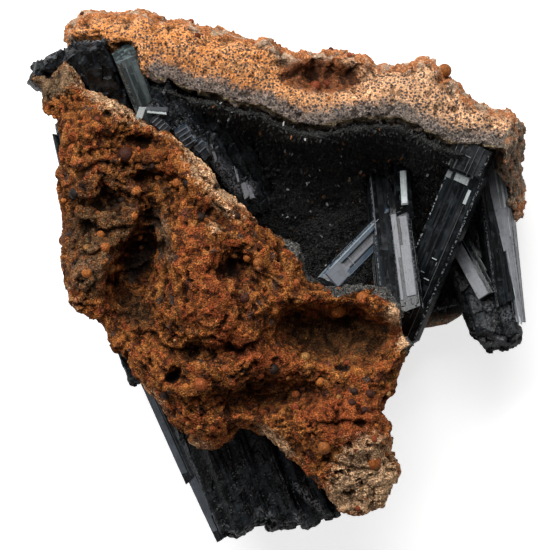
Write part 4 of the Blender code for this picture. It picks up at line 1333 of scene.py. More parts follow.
LEDGE_STUBS = CrystalBundle("", [
    Prism((-30.4, 35.4, 40.4), (-29.6, 37.6, 41.2), 1.6, 1, 0, 0.1, 1, ((20, 0),), (0.95, 0.5, 0.5, 0.5),
          (0.9, 0)),
    Prism((-28.6, 36.5, 42.4), (-24.4, 36.1, 42.4), 0.55, 0.6, 0, 0.1, 1, ((20, 0),), (0.95, 0.5, 0, 0.5),
          (0.9, 0)),
    Prism((-28.8, 37.2, 41.9), (-24.2, 37, 42), 1, 0.6, 0, 0.1, 1, ((0, 0),), (0.3, 0.2, 0, 0.2),
          (0.3, 0.1)),
    Prism((-27.4, 35.6, 40.4), (-23.8, 31.8, 39.4), 2.6, 3, 0, 0.1, 0.9, ((10, 10),),
          (0.1, 0.1, 0, 0.1), (0.5, 0.1), (
        (-1.2, 1.1, -2, -1.6, 0.3, 0.45), (-1.2, 1, -1, -0.6, 0.3, 0.4), (-1.1, 1, 0, 0.4, 0.3, 0.5),
        (-1.1, 1, 1, 1.3, 0.3, 0.3),
    )),
    Prism((-21.2, 33.2, 40.8), (-18.2, 28.8, 39.8), 3.2, 3, 10, 0.12, 1, ((10, 10),),
          (0.12, 0.2, 0, 0.2), (0.6, 0.2), (
        (-1.5, 1.4, -2.3, -1.9, 0.3, 0.4, 0.15), (-1.5, 1.4, -1.2, -0.8, 0.3, 0.3, 0.2),
        (-1.4, 1.4, -0.1, 0.3, 0.3, 0.4, 0.1), (-1.4, 1.4, 1.2, 1.6, 0.3, 0.3, 0.1),
    )),
    Prism((-17.8, 29.8, 38.9), (-15, 26.4, 38), 2.6, 3, -10, 0.12, 1, ((0, 10),),
          (0.1, 0.1, 0, 0.1), (0.5, 0.2), (
        (-1.2, 1.1, -2, -1.5, 0.3, 0.4, 0.1), (-1.2, 1.1, -0.4, 0, 0.3, 0.25, 0.1),
    )),
    Prism((-13.9, 27.8, 39.5), (-13.1, 25.6, 39.3), 0.9, 1.6, 0, 0.12, 0.6, ((20, 10),), (0.5, 0.3, 0, 0.3),
          (0.5, 0.2)),
    Prism((-8.6, 22.8, 37.3), (-8.2, 21, 37), 0.5, 1.6, 0, 0.12, 1, ((20, 10),), (0.6, 0.3, 0, 0.3),
          (0.5, 0.2)),
    Prism((-7.3, 20.8, 35.3), (-6.2, 17.6, 34.9), 1.5, 2, 0, 0.12, 1, ((20, 10),), (0.62, 0.3, 0, 0.3),
          (0.5, 0.1)),
    Prism((-5.9, 19.4, 34.9), (-5, 17.2, 34.6), 1.2, 2, 0, 0.12, 1, ((-20, 10),), (0.62, 0.3, 0, 0.3),
          (0.5, 0.1)),
], Habit.STUBBY, 31, name="ledge_stubs")

EDGE_SPLINTER = CrystalBundle("edge_splinter", [
    Prism((-45.7, 22.3, 33), (-49.1, 34.2, 34.5), 1.8, 4, 10, 0.25, 0.5, ((24, 0),)),
    Prism((-46.4, 20, 32.5), (-49.6, 31.7, 33), 1.8, 3.6, -12, 0.25, 0.5, ((-24, 0),)),
], Habit.GLASSY, 18)

RIGHT_STUMP = [
    Prism((41.4, 4.9, 19), (47.4, -15, 22.6), 5, 7.6, 0, 0.2, 1, ((24, 20), (-30, 0))),
    Prism((46.4, -3.2, 22.6), (50, -16.4, 24.6), 6.4, 9, 14, 0.24, 0.95, ((-14, 30), (30, 10))),
    Prism((51, -3.4, 24.2), (53.4, -16.7, 26), 6.4, 7.6, -10, 0.24, 0.9, ((20, 24), (-30, 20))),
]

CORNER_CRYSTALS = [
    Prism((-31.3, 27.7, 21), (-40.9, 54, 36.2), 5.4, 15, -6, 0.1, 1, ((-8, -26),)),
    Prism((-35.3, 27.7, 22), (-43.4, 53.6, 36.4), 5, 14, 4, 0.12, 1, ((-8, -26),)),
    Prism((-38.2, 33.1, 25), (-46.4, 50.8, 35.4), 6, 9, 6, 0.16, 0.95, ((20, -10),)),
    Prism((-38.4, 36.9, 26), (-54.9, 46.2, 33.6), 5.8, 8, 12, 0.1, 0.9, ((6, -10),)),
    Prism((-38.8, 39.8, 28), (-51.4, 49.2, 35), 6, 7, 0, 0.1, 0.95, ((-16, -10),)),
]

LEDGE_CRYSTALS = [
    Prism((-4, 14.2, 20.5), (-19.1, 42.5, 34), 5.9, 10, -8, 0.14, 1, ((16, 12),), root_slopes=((0, 68),)),
    Prism((-7.4, 11.9, 21.5), (-22.7, 43, 36), 5.4, 10, 6, 0.12, 1, ((-14, 20),), root_slopes=((0, 60),)),
    Prism((-2.2, 18, 19.4), (-14.4, 40.7, 30.5), 5, 10, 12, 0.16, 1, ((20, 10),), root_slopes=((0, 72),)),
    Prism((-14.2, 19.1, 27.5), (-26.3, 44.3, 38.6), 5.4, 8, -12, 0.2, 0.95, ((24, 14),),
          root_slopes=((0, 50),)),
    Prism((-4.5, 14.2, 31), (-15.3, 30.6, 38.2), 3.4, 6, -18, 0.2, 0.8, ((-30, 18),),
          root_slopes=((0, 66),)),
    Prism((-15.1, 25.9, 35), (-20.9, 33.8, 40.6), 4.3, 5, -24, 0.14, 0.95, ((10, 30),)),
    Prism((-20, 32.6, 34), (-27.7, 37.6, 41), 3.6, 4.6, -20, 0.14, 0.9, ((0, 24),)),
    Prism((-2.9, 15.5, 28), (-6.5, 20.9, 35), 2.9, 3.4, 16, 0.15, 0.95, ((0, 20),)),
]

LOWER_CRYSTALS = [
    Prism((-25.9, -7.9, 26), (-6.3, -59, 21.2), 5, 14, -4, 0.1, 1, ((16, 14),)),
    Prism((-34.9, -12.4, 25.5), (-30.4, -24.6, 23.5), 3.4, 7, 20, 0.2, 0.9, ((20, 10),)),
    Prism((-29.2, -9, 26), (-8.7, -59.6, 20.5), 4.3, 12, 12, 0.12, 1, ((-14, 20),), (0, 0, 0, 0.08),
          (0.2, 0)),
    Prism((-21.8, -7.9, 26), (-2.5, -57.2, 20.4), 5.4, 14, 6, 0.12, 1, ((-10, 18),)),
    Prism((-17.8, -7.9, 25.5), (1.4, -58, 19.4), 4.7, 13, -8, 0.12, 1, ((12, 30),)),
    Prism((-14, -7.9, 26), (5.2, -57.6, 20), 5.2, 13, 14, 0.12, 1, ((-12, 20),)),
    Prism((-9.9, -9, 25.5), (9, -57.6, 18.6), 4.5, 12, -10, 0.14, 0.95, ((18, 16),)),
    Prism((-5.6, -12.4, 25.5), (12, -55.9, 19), 4.5, 11, 10, 0.14, 0.9, ((-16, 22),)),
    Prism((0, -19.1, 25.5), (15.4, -54.6, 19.6), 3.4, 9, -6, 0.14, 0.9, ((18, 20),)),
    Prism((5.6, -37.1, 27), (16.9, -53, 24.6), 2.2, 6, 24, 0.2, 0.9, ((18, 20),), (0.25, 0, 0, 0),
          (0.35, 0.05)),
]

# Where the broken masses get painted sheen and highlights: ovals as in Patch.
LEDGE_LIGHTS = [
    (-27.3, 36.7, 2.8, 0.7, -3, 1), (-20.2, 30.8, 4.4, 1.6, -40, 0.5), (-5.7, 18.8, 1.7, 1.2, -40, 0.9),
    (-21.9, 37.6, 3.8, 2.6, -75, 0.16), (-12, 23.6, 10, 1.5, -50, 0.3), (-24.8, 41.2, 0.9, 0.6, 0, 1),
    (-10.5, 35, 1.5, 0.5, 30, 0.5),
]

LOWER_LIGHTS = [
    (7.6, -50.6, 5.4, 0.9, -44, 0.6), (5.6, -55.5, 2.4, 1.6, -70, 0.6), (-2.2, -54, 2.2, 0.9, -20, 0.4),
]

STUMP_LIGHTS = [
    (52, -8.2, 3.2, 2.2, -40, 0.25), (50.2, -15, 2.4, 1.2, 30, 0.4), (48.6, -7, 1.4, 2, 0, 0.25),
]

CORNER_LIGHTS = [(-41, 52.7, 3.8, 0.7, 4, 1), (-51, 49.2, 2.4, 0.7, 32, 0.12)]


class Shape(Enum):
    """A small shape of about unit size: the node that makes it, and the node's inputs."""

    BALL = ("GeometryNodeMeshUVSphere", {"Segments": 8, "Rings": 6, "Radius": 1.0})
    CRUMB = ("GeometryNodeMeshCube", {"Size": (1.5, 1.3, 1.1)})
    POINT = (
        "GeometryNodeMeshCone", {"Vertices": 5, "Radius Top": 0.55, "Radius Bottom": 1.0, "Depth": 3.0}
    )


@dataclass
class Scatter:
    """Geometry Nodes that strew one small shape over a surface."""

    name: str
    slot: str
    size: Pair
    density: float
    spacing: float
    sink: float
    tilt: float
    seed: int
    shape: Shape
    mask: str = "strewn"

    def instance(self, sheet: NodeSheet) -> Socket:
        """Adds the small shape's node.

        Args:
            sheet: The tree's sheet.

        Returns:
            The output with a shape of about unit size.
        """
        kind, feeds = self.shape.value
        return sheet.add(kind, feeds).outputs["Mesh"]

    def tree(self) -> bpy.types.NodeTree:
        """Builds the node tree.

        Returns:
            The tree, whose inputs are named after the sizes.
        """
        labels = ("Smallest", "Largest", "Density", "Spacing", "Sink", "Tilt")
        sheet, source, result = new_group(
            self.name + "_strewing",
            {"Surface": "Geometry", **dict.fromkeys(labels, "Float"), "Seed": "Int", "Finish": "Material"},
            {"Strewn": "Geometry"},
            "GeometryNodeTree",
        )
        given = source.outputs
        mask = sheet.add("GeometryNodeInputNamedAttribute", {"Name": self.mask}, data_type="FLOAT")
        feeds = {
            "Mesh": given["Surface"], "Distance Min": given["Spacing"], "Density Max": given["Density"],
            "Density Factor": mask.outputs[0], "Seed": given["Seed"],
        }
        kind = "GeometryNodeDistributePointsOnFaces"
        points = sheet.add(kind, feeds, distribute_method="POISSON").outputs
        chance = sheet.add("FunctionNodeRandomValue", {"Seed": given["Seed"]}, data_type="FLOAT")
        skewed = sheet.math("POWER", chance.outputs[1], 2.0)
        feeds = {0: skewed, 3: given["Smallest"], 4: given["Largest"]}
        size = sheet.add("ShaderNodeMapRange", feeds).outputs[0]
        squash = sheet.random_vector((0.75, 0.75, 0.7), (1.2, 1.2, 1.1))
        tint = sheet.add("FunctionNodeRandomValue", {2: 0.1, 3: 0.86, "Seed": 5}, data_type="FLOAT")
        feeds = {"Geometry": points["Points"], "Name": "tint", "Value": tint.outputs[1]}
        kind = "GeometryNodeStoreNamedAttribute"
        tinted = sheet.add(kind, feeds, data_type="FLOAT", domain="POINT").outputs[0]
        feeds = {
            "Points": tinted, "Instance": self.instance(sheet), "Rotation": points["Rotation"],
            "Scale": sheet.vector("MULTIPLY", squash, size),
        }
        strewn = sheet.add("GeometryNodeInstanceOnPoints", feeds).outputs[0]
        ends = [sheet.vector("MULTIPLY", (k, k, 3.1 * k), given["Tilt"]) for k in (-1.0, 1.0)]
        feeds = {"Instances": strewn, "Rotation": sheet.random_vector(*ends)}
        strewn = sheet.add("GeometryNodeRotateInstances", feeds).outputs[0]
        down = sheet.add("ShaderNodeCombineXYZ", {2: sheet.math("MULTIPLY", size, given["Sink"])})
        feeds = {"Instances": strewn, "Translation": down.outputs[0]}
        strewn = sheet.add("GeometryNodeTranslateInstances", feeds).outputs[0]
        strewn = sheet.add("GeometryNodeRealizeInstances", {"Geometry": strewn}).outputs[0]
        feeds = {"Geometry": strewn, "Shade Smooth": self.shape is Shape.BALL}
        strewn = sheet.add("GeometryNodeSetShadeSmooth", feeds, domain="FACE").outputs[0]
        feeds = {"Geometry": strewn, "Material": given["Finish"]}
        sheet.feed(result, {0: sheet.add("GeometryNodeSetMaterial", feeds).outputs[0]})
        return sheet.tree

    def strew(self, surface: bpy.types.Object, finish: bpy.types.Material) -> bpy.types.Object:
        """Strews the shapes over a surface, as a piece of its own.

        Args:
            surface: The object that they lie on.
            finish: Their material.

        Returns:
            The piece.
        """
        piece = new_object(self.name, surface.data.copy())
        modifier = piece.modifiers.new("Strewing", "NODES")
        modifier.node_group = self.tree()
        values = {
            "Smallest": self.size[0] * MM, "Largest": self.size[1] * MM, "Density": self.density / MM**2,
            "Spacing": self.spacing * MM, "Sink": -self.sink, "Tilt": self.tilt, "Seed": self.seed,
            "Finish": finish,
        }
        for socket in modifier.node_group.interface.items_tree:
            if socket.name in values:
                modifier[socket.identifier] = values[socket.name]
        settle(piece)
        present(piece)
        return piece


SLAB_OOIDS = Scatter("slab_ooids", "limonite", (0.25, 0.75), 0.024, 1.2, 0.55, 1.0, 21, Shape.BALL)
SLAB_GRIT = Scatter("slab_grit", "limonite", (0.07, 0.20), 1.1, 0.3, 0.0, 1.0, 22, Shape.CRUMB)
WALL_OOIDS = Scatter("wall_ooids", "speckled_limonite", (0.3, 0.8), 0.02, 1.2, 0.3, 1.0, 23, Shape.BALL)
WALL_GRIT = Scatter("wall_grit", "speckled_limonite", (0.08, 0.28), 0.9, 0.3, 0.0, 1.0, 24, Shape.CRUMB)
DRUSE_POINTS = Scatter("druse_points", "dark_crust", (0.12, 0.34), 2.0, 0.42, 0.5, 0.7, 25, Shape.POINT)
LINING_CRUMBS = Scatter(
    "slab_lining", "limonite", (0.08, 0.24), 6.0, 0.26, 0.1, 1.0, 26, Shape.CRUMB, "lining"
)


@dataclass
class Rock:
    """A piece refined from its solid, roughened, and thinned out where it is plain."""

    solid: str
    cell: float
    triangles: int
    seed: int
    evening: int = 8
    name: str = "rock"

    @property
    def noise(self) -> StoneNoise:
        """The rock's own noise."""
        return StoneNoise(self.seed)

    def build(self, finish: bpy.types.Material, slot: str) -> bpy.types.Object:
        """Builds the piece in place of its solid, if it has one.

        Args:
            finish: Its material.
            slot: Not used.

        Returns:
            The piece.
        """
        made = self.refine()
        write_points(made.data, self.relief(made.data))
        self.thin_out(made)
        self.dress(made.data)
        made.data.materials.clear()
        made.data.materials.append(finish)
        present(made, self.solid)
        return made

    def source(self) -> bpy.types.Mesh:
        """The mesh that is refined."""
        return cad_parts[self.solid].data

    def refine(self) -> bpy.types.Object:
        """Copies the solid in fine, even cells.

        Returns:
            The new object.
        """
        edit = bmesh.new()
        edit.from_mesh(self.source())
        bmesh.ops.remove_doubles(edit, verts=edit.verts, dist=0.01 * MM)
        mesh = bpy.data.meshes.new(self.name)
        edit.to_mesh(mesh)
        edit.free()
        made = new_object(self.name, mesh)
        cells = made.modifiers.new("Cells", "REMESH")
        cells.mode = "VOXEL"
        cells.voxel_size = self.cell * MM
        settle(made)
        write_points(made.data, relaxed(made.data, read_points(made.data), self.evening))
        return made

    def thin_out(self, made: bpy.types.Object) -> None:
        """Leaves about as many triangles as the rock may have, the most where it bends most."""
        made.data.calc_loop_triangles()
        share = self.triangles / len(made.data.loop_triangles)
        if share < 1.0:
            made.modifiers.new("Thinned", "DECIMATE").ratio = share
            settle(made)
        smooth_faces(made.data)

    # The finishes paint shade and highlight from the two numbers kept below.
    def store_relief(self, mesh: bpy.types.Mesh) -> None:
        """Keeps how far each vertex stands out from what is round it."""
        points, normals = read_points(mesh), read_normals(mesh)
        near = np.einsum("ij,ij->i", points - relaxed(mesh, points, 4), normals)
        wide = np.einsum("ij,ij->i", points - relaxed(mesh, points, 40), normals)
        store(mesh, "relief", np.clip(near * 5.0 + wide * 1.1, -1.0, 1.0))

    def store_shelter(self, mesh: bpy.types.Mesh, rays: int = 12) -> None:
        """Keeps how far each vertex is shut in by the surface round it, from 0 to 1.

        Args:
            mesh: The rock's mesh.
            rays: How many ways are tried from each vertex.
        """
        points, normals = read_points(mesh), read_normals(mesh)
        tree = BVHTree.FromPolygons(points.tolist(), [p.vertices[:] for p in mesh.polygons])
        golden = math.pi * (3.0 - math.sqrt(5.0))
        heights = (np.arange(rays) + 0.5) / rays
        flats = np.sqrt(1 - heights**2)
        ways = [
            Vector((math.cos(golden * k) * flat, math.sin(golden * k) * flat, height))
            for k, (flat, height) in enumerate(zip(flats, heights))
        ]
        shut = np.zeros(len(points))
        for index, (point, normal) in enumerate(zip(points, normals)):
            if normal[2] < -0.3:
                continue
            turn = Vector(normal).to_track_quat("Z", "Y")
            start = Vector(point + normal * 0.15)
            for way in ways:
                if tree.ray_cast(start, turn @ way, SHELTER_REACH)[0] is not None:
                    shut[index] += 1.0 / rays
        store(mesh, "shelter", relaxed(mesh, shut[:, None], 1)[:, 0])


# Where the front slab is smoother than elsewhere.
CALM = Patch(15, -14, 14, 6, -4, 0.9, 2)

# Where the front slab rises, sinks and breaks in ledges.
SLAB_MARKS: list[Patch | Ledge] = [
    Patch(-31, 35.1, 1, 0.9, 0, -2.6, 2), Patch(-37.8, 35.1, 0.9, 0.8, 0, -1.6, 2),
    Patch(-12.8, 19.8, 1.2, 1, 30, -2.6, 2), Patch(-22.7, -22.7, 1.2, 1.2, 0, -3.2, 2),
    Patch(-10.2, 0.8, 3.2, 2.2, -10, -2.6, 1.6), Patch(-43, -1.4, 1.7, 1.2, 0, -1.6, 2),
    Patch(15.5, -20.5, 1.6, 1, 0, -1.4, 2), Patch(-27, 24.5, 2.2, 1.3, -20, -1.8, 1.5),
    Patch(-5, -19, 4, 2.2, -40, 1.2, 1.5),
    Ledge(((-44, 27.5), (-36, 28.8), (-31, 31.5), (-27.5, 31), (-23, 29)), 1.6, 1.6),
    Ledge(((-47.5, 22.5), (-40.5, 24.5), (-34.5, 25.5), (-28.5, 23.2), (-23.5, 22.4)), 2, 2.2),
    Ledge(((-44, 17), (-39.5, 19.6), (-33, 18.6), (-29, 17), (-24, 16.5)), 1.8, 1.8),
    Ledge(((-47, 10.5), (-42, 11.6), (-37, 10.6), (-32.5, 12.5), (-28, 11.8)), 2, 1.8),
    Ledge(((-46, 5.8), (-41, 5), (-36.5, 6.6)), 1.8, 1.6),
    Ledge(((-23, 12), (-25, 7), (-26.6, 1), (-27.6, -5), (-25.5, -10)), 3, 3),
    Ledge(((-15, 3), (-9, 3.8), (-3, 1.2), (2.5, -2.5)), 2.4, 2.6),
    Ledge(((-20.5, -14.8), (-13.5, -14.2), (-7, -15.8), (-3, -13.5), (1, -9.8)), 3.2, 2.6),
    Ledge(((-2, -7.6), (8, -8.2), (13.5, -9.6), (21, -9.6), (27.5, -10)), 2.8, 6.5),
    Ledge(((-33, -13.5), (-27.5, -13), (-22.5, -15.5), (-17, -17)), 1.8, 2),
    Ledge(((-16, -30), (-9, -26), (-2, -24.2), (5, -20.5)), 2.2, 2.6),
    Ledge(((5, -33.5), (11, -31.5), (18, -33), (24.5, -31)), 1.6, 2.2),
    Ledge(((8.5, -40.5), (14.5, -41), (20, -42.6), (26, -41)), 1.6, 2),
]

# Where the front slab has another colour: ovals as in Patch. The near-black ovals are painted shade, and
# the umber oval over the recess is partly painted shade.
SLAB_ZONES = {
    "pale": [
        (-38.6, 39, 11, 2.4, -36, 0.46, 1.5), (-10, 14, 5, 1.6, -30, 0.3, 1.5),
        (-14.4, 22.6, 10, 4.6, -52, 0.58, 1.5), (20.5, -48.5, 8.5, 4.2, 10, 0.8, 1.6),
        (20, -44, 10.5, 8, 60, 0.75, 1.5), (0.5, -37.2, 7, 2, -40, 0.65, 1.5),
        (-28, -27, 8, 2.2, -45, 0.42, 1.5), (-17, -38, 6, 1.8, -10, 0.42, 1.5),
        (-45, -6, 2.4, 7, 20, 0.36, 1.5), (27, -8.8, 3.4, 3, -60, 0.7, 1.5),
        (29.5, -14.8, 3, 2.4, 60, 0.8, 1.5), (-13.5, 10.5, 2.6, 1.4, -20, 0.5, 1.5),
    ],
    "taupe": [
        (-50, 43, 8, 3.8, 24, 0.95, 1.6), (-38, 14, 14, 17, 0, 0.36, 1.5), (-42, -1, 5, 6, 0, 0.5),
        (-24.6, 8, 2, 8, 8, 0.5, 1.5),
    ],
    "umber": [
        # The second oval, over the recess below the long ledge, is partly painted shade.
        (-38.5, 11.5, 10.5, 7, 0, 0.85, 1.4), (14, -13.5, 14, 6, -4, 0.8, 1.8), (-36, 22, 9, 2.4, 0, 0.5),
        (-31, -8, 6, 4, -50, 0.8, 1.5), (-3, -23.5, 8, 3, 30, 0.55, 1.5), (-43, 3, 4, 6, 0, 0.4),
    ],
    "red": [
        (-14, -3, 15, 7.5, -68, 0.6, 1.4), (17, -30, 11, 6, 0, 0.6), (-6, -17.5, 9, 4, -20, 0.6),
        (2, -20, 6, 4, 0, 0.5), (-24, 25.5, 5, 3, -40, 0.5), (14, -33, 12, 5, -20, 0.45),
        (24, -20, 6, 3, 0, 0.5),
    ],
    # Painted shade in pits, the deep pocket and under ledges.
    "painted_recess_shade": [
        (-30.6, 3.2, 5.5, 3, 62, 0.95, 2), (-12.8, 19.8, 1.2, 1, 30, 0.9, 2),
        (-22.7, -22.7, 1.3, 1.2, 0, 0.9, 2), (-10.2, 1, 3, 2, -10, 0.65, 1.6),
        (15.5, -20.8, 1.7, 0.9, 0, 0.9, 2), (-28.5, 13.5, 2.2, 1.6, 0, 0.6, 1.5),
        (-24.4, -26.6, 1.4, 1.1, 40, 0.7, 2), (-29.5, 30.2, 2.6, 0.8, -12, 0.8, 1.5),
        (-24.5, 19, 1.6, 1.2, 0, 0.7, 2), (-42.8, 19.5, 2, 1.3, -20, 0.8, 2),
    ],
}


@dataclass
class FrontSlab(Rock):
    """The rusty slab in front, full of ooids."""

    def relief(self, mesh: bpy.types.Mesh) -> np.ndarray:
        """Moves the slab's surface into crags, ledges, lumps and pits.

        Args:
            mesh: The refined mesh.

        Returns:
            Where each point goes.
        """
        noise, points, normals = self.noise, read_points(mesh), read_normals(mesh)
        upper = np.clip(normals[:, 2], 0.0, 1.0)
        warp = np.column_stack([noise.rough(points, 5.0, 3, salt) for salt in (80, 90)]) * 0.9
        bent = points.copy()
        bent[:, :2] += warp
        crags = 0.42 * (noise.ridged(points, 6.5, 3) - 0.45)
        first, _, own, _ = noise.grains(bent, 1.9, 20)
        pebbles = 0.5 * np.clip(0.5 - first, 0.0, 1.0) * (own > 0.9)
        broken = noise.facets(bent, 4.2, 0.20, 30) + noise.facets(bent, 1.7, 0.07, 36)
        near, _, kind, _ = noise.grains(points, 0.9, 70)
        painted_edge_glints = 0.34 * np.clip(0.5 - near, 0.0, 1.0) * step(0.35, 0.55, kind)
        rough = 0.10 * noise.rough(points, 0.8, 2, 40)
        cracks = -0.4 * step(0.86, 1.0, noise.ridged(bent, 8.0, 3, 50) * 1.25)
        pits = -0.9 * step(0.66, 0.84, noise.rough(points, 2.6, 3, 60))
        calm = 1.0 - CALM.weigh(points)
        lift = (crags + pebbles + broken + painted_edge_glints + rough + pits) * calm + cracks - 0.4 * (1.0 - upper)
        moved = points + normals * lift[:, None]
        moved[:, 2] += patched(SLAB_MARKS, bent) * upper
        return moved

    def dress(self, mesh: bpy.types.Mesh) -> None:
        """Keeps what the slab's finish and its crumbs need.

        Args:
            mesh: The slab's mesh.
        """
        points, normals = read_points(mesh), read_normals(mesh)
        self.store_relief(mesh)
        self.store_shelter(mesh)
        for name, ovals in SLAB_ZONES.items():
            amount = patched([Patch(*oval) for oval in ovals], points)
            if name == "pale":
                amount += 0.36 * step(1.3, 0.2, distance_to(SLAB_INNER_EDGE, points))
            store(mesh, name, amount)
        store(mesh, "strewn", np.clip(0.15 + normals[:, 2], 0.0, 1.0))
        lined = distance_to(SLAB_LINING, points) + 0.5 * self.noise.rough(points, 1.6, 2, 95)
        store(mesh, "lining", step(1.8, 1.2, lined) * (normals[:, 2] > -0.2))


# The broken hole in the wall's outer edge.
PIT = Patch(10, 44.6, 9.5, 4.2, -4, 1, 2)

# Where the back wall's face sinks.
WALL_MARKS = [
    Patch(6.6, 44.3, 4.5, 2.4, 0, -2.2, 2), Patch(1.5, 47.3, 1.8, 1.2, 0, -1.6, 1.5),
    Patch(-34.5, 52, 1.6, 1, 0, -0.9, 1.5), Patch(40, 37, 1, 0.8, 0, -1, 1.5),
]


def inside_hollow(points: np.ndarray) -> np.ndarray:
    """Tells which points lie within the hollow's rim, in plan.

    Args:
        points: Points in millimetres, one a row.

    Returns:
        True for each point inside.
    """
    outline = RIM + SIDE_RIM[1:] + [(70.0, -60.0), (-70.0, -60.0), (-70.0, 53.8)]
    x, y = points[:, 0], points[:, 1]
    crossings = np.zeros(len(points), dtype=int)
    for (ax, ay), (bx, by) in zip(outline, outline[1:] + outline[:1]):
        rise = by - ay if by != ay else 1.0
        crossings += ((ay > y) != (by > y)) & (x < ax + (y - ay) * (bx - ax) / rise)
    return crossings % 2 == 1


@dataclass
class BackWall(Rock):
    """The speckled block behind, with the deep hollow in it."""

    def relief(self, mesh: bpy.types.Mesh) -> np.ndarray:
        """Moves the wall's surface: a flat, finely pitted face, and craggy sides.

        Args:
            mesh: The refined mesh.

        Returns:
            Where each point goes.
        """
        points, normals = read_points(mesh), read_normals(mesh)
        outer = distance_to(OUTER_EDGE, points)
        rim = np.minimum(distance_to(RIM, points), distance_to(SIDE_RIM, points))
        top = step(36.0, 40.0, points[:, 2])
        pit = patched([PIT], points)
        flat = top * step(1.4, 3.6, outer) * step(0.3, 0.7, normals[:, 2]) * (1.0 - pit)
        inner = inside_hollow(points) & (normals[:, 2] > -0.2) & (points[:, 2] > 5.0)
        hidden = np.maximum(inner * step(0.5, 2.0, rim), step(0.8, 0.1, points[:, 2]))
        evened = relaxed(mesh, points, 60)
        level = points.copy()
        level[:, 2] += 0.8 * flat * (1.0 - inner) * (evened[:, 2] - points[:, 2])
        level[:, 2] += patched(WALL_MARKS, points) * top
        noise = self.noise
        crags = 1.1 * (noise.ridged(level, 6.0, 4) - 0.85)
        broken = noise.facets(level, 3.4, 0.36, 20) + noise.facets(level, 1.6, 0.26, 26)
        fine = 0.12 * noise.rough(level, 1.1, 3, 50)
        pits = -0.4 * step(0.66, 0.84, noise.rough(level, 1.6, 2, 60))
        lift = (crags + broken) * (1.0 - 0.93 * flat) + fine + pits * flat
        return level + normals * (lift * (1.0 - hidden))[:, None]

    def dress(self, mesh: bpy.types.Mesh) -> None:
        """Keeps what the wall's finish and its crumbs need.

        Args:
            mesh: The wall's mesh.
        """
        points, normals = read_points(mesh), read_normals(mesh)
        points[:, 2] = np.maximum(points[:, 2], 0.0)
        write_points(mesh, points)
        self.store_relief(mesh)
        outer, rim = distance_to(OUTER_EDGE, points), distance_to(RIM, points)
        store(mesh, "rim_gap", rim + 8.0 * step(-26.0, -32.0, points[:, 0]))
        self.store_shelter(mesh)
        pit = patched([PIT], points)
        edge = step(3.4, 0.6, outer) + 1.3 * pit
        store(mesh, "pit", pit)
        store(mesh, "outer", np.maximum(edge, step(37.0, 33.0, points[:, 2])))
        within = inside_hollow(points) * step(1.2, 2.6, rim) * step(33.0, 30.0, points[:, 2])
        store(mesh, "within", within * step(-11.0, -8.0, points[:, 1]))
        right = step(49.4, 50.4, points[:, 0] - 0.32 * (points[:, 1] - 27.0))
        right *= step(32.8, 31.4, points[:, 1] - 0.7 * (points[:, 0] - 51.5))
        right *= step(14.0, 16.0, points[:, 1] - 1.2 * (points[:, 0] - 53.0))
        store(mesh, "side", np.maximum(right, step(2.0, -2.0, points[:, 1])))
        store(mesh, "strewn", np.clip(edge, 0.0, 1.0) * (normals[:, 2] > -0.3))


@dataclass
class DruseCrust(Rock):
    """The black crust that lines the hollow."""

    def relief(self, mesh: bpy.types.Mesh) -> np.ndarray:
        """Moves the crust's surface into small crystals.

        Args:
            mesh: The refined mesh.

        Returns:
            Where each point goes.
        """
        points = read_points(mesh)
        first = self.noise.grains(points, 1.5, 20)[0]
        lift = 0.5 * (0.5 - first) + 0.35 * self.noise.rough(points, 3.0, 3)
        return points + read_normals(mesh) * lift[:, None]

    def dress(self, mesh: bpy.types.Mesh) -> None:
        """Keeps where the crust's tiny points stand."""
        strewn = step(0.8, 2.2, distance_to(RIM, read_points(mesh)))
        store(mesh, "strewn", strewn * (read_normals(mesh)[:, 2] > -0.1))


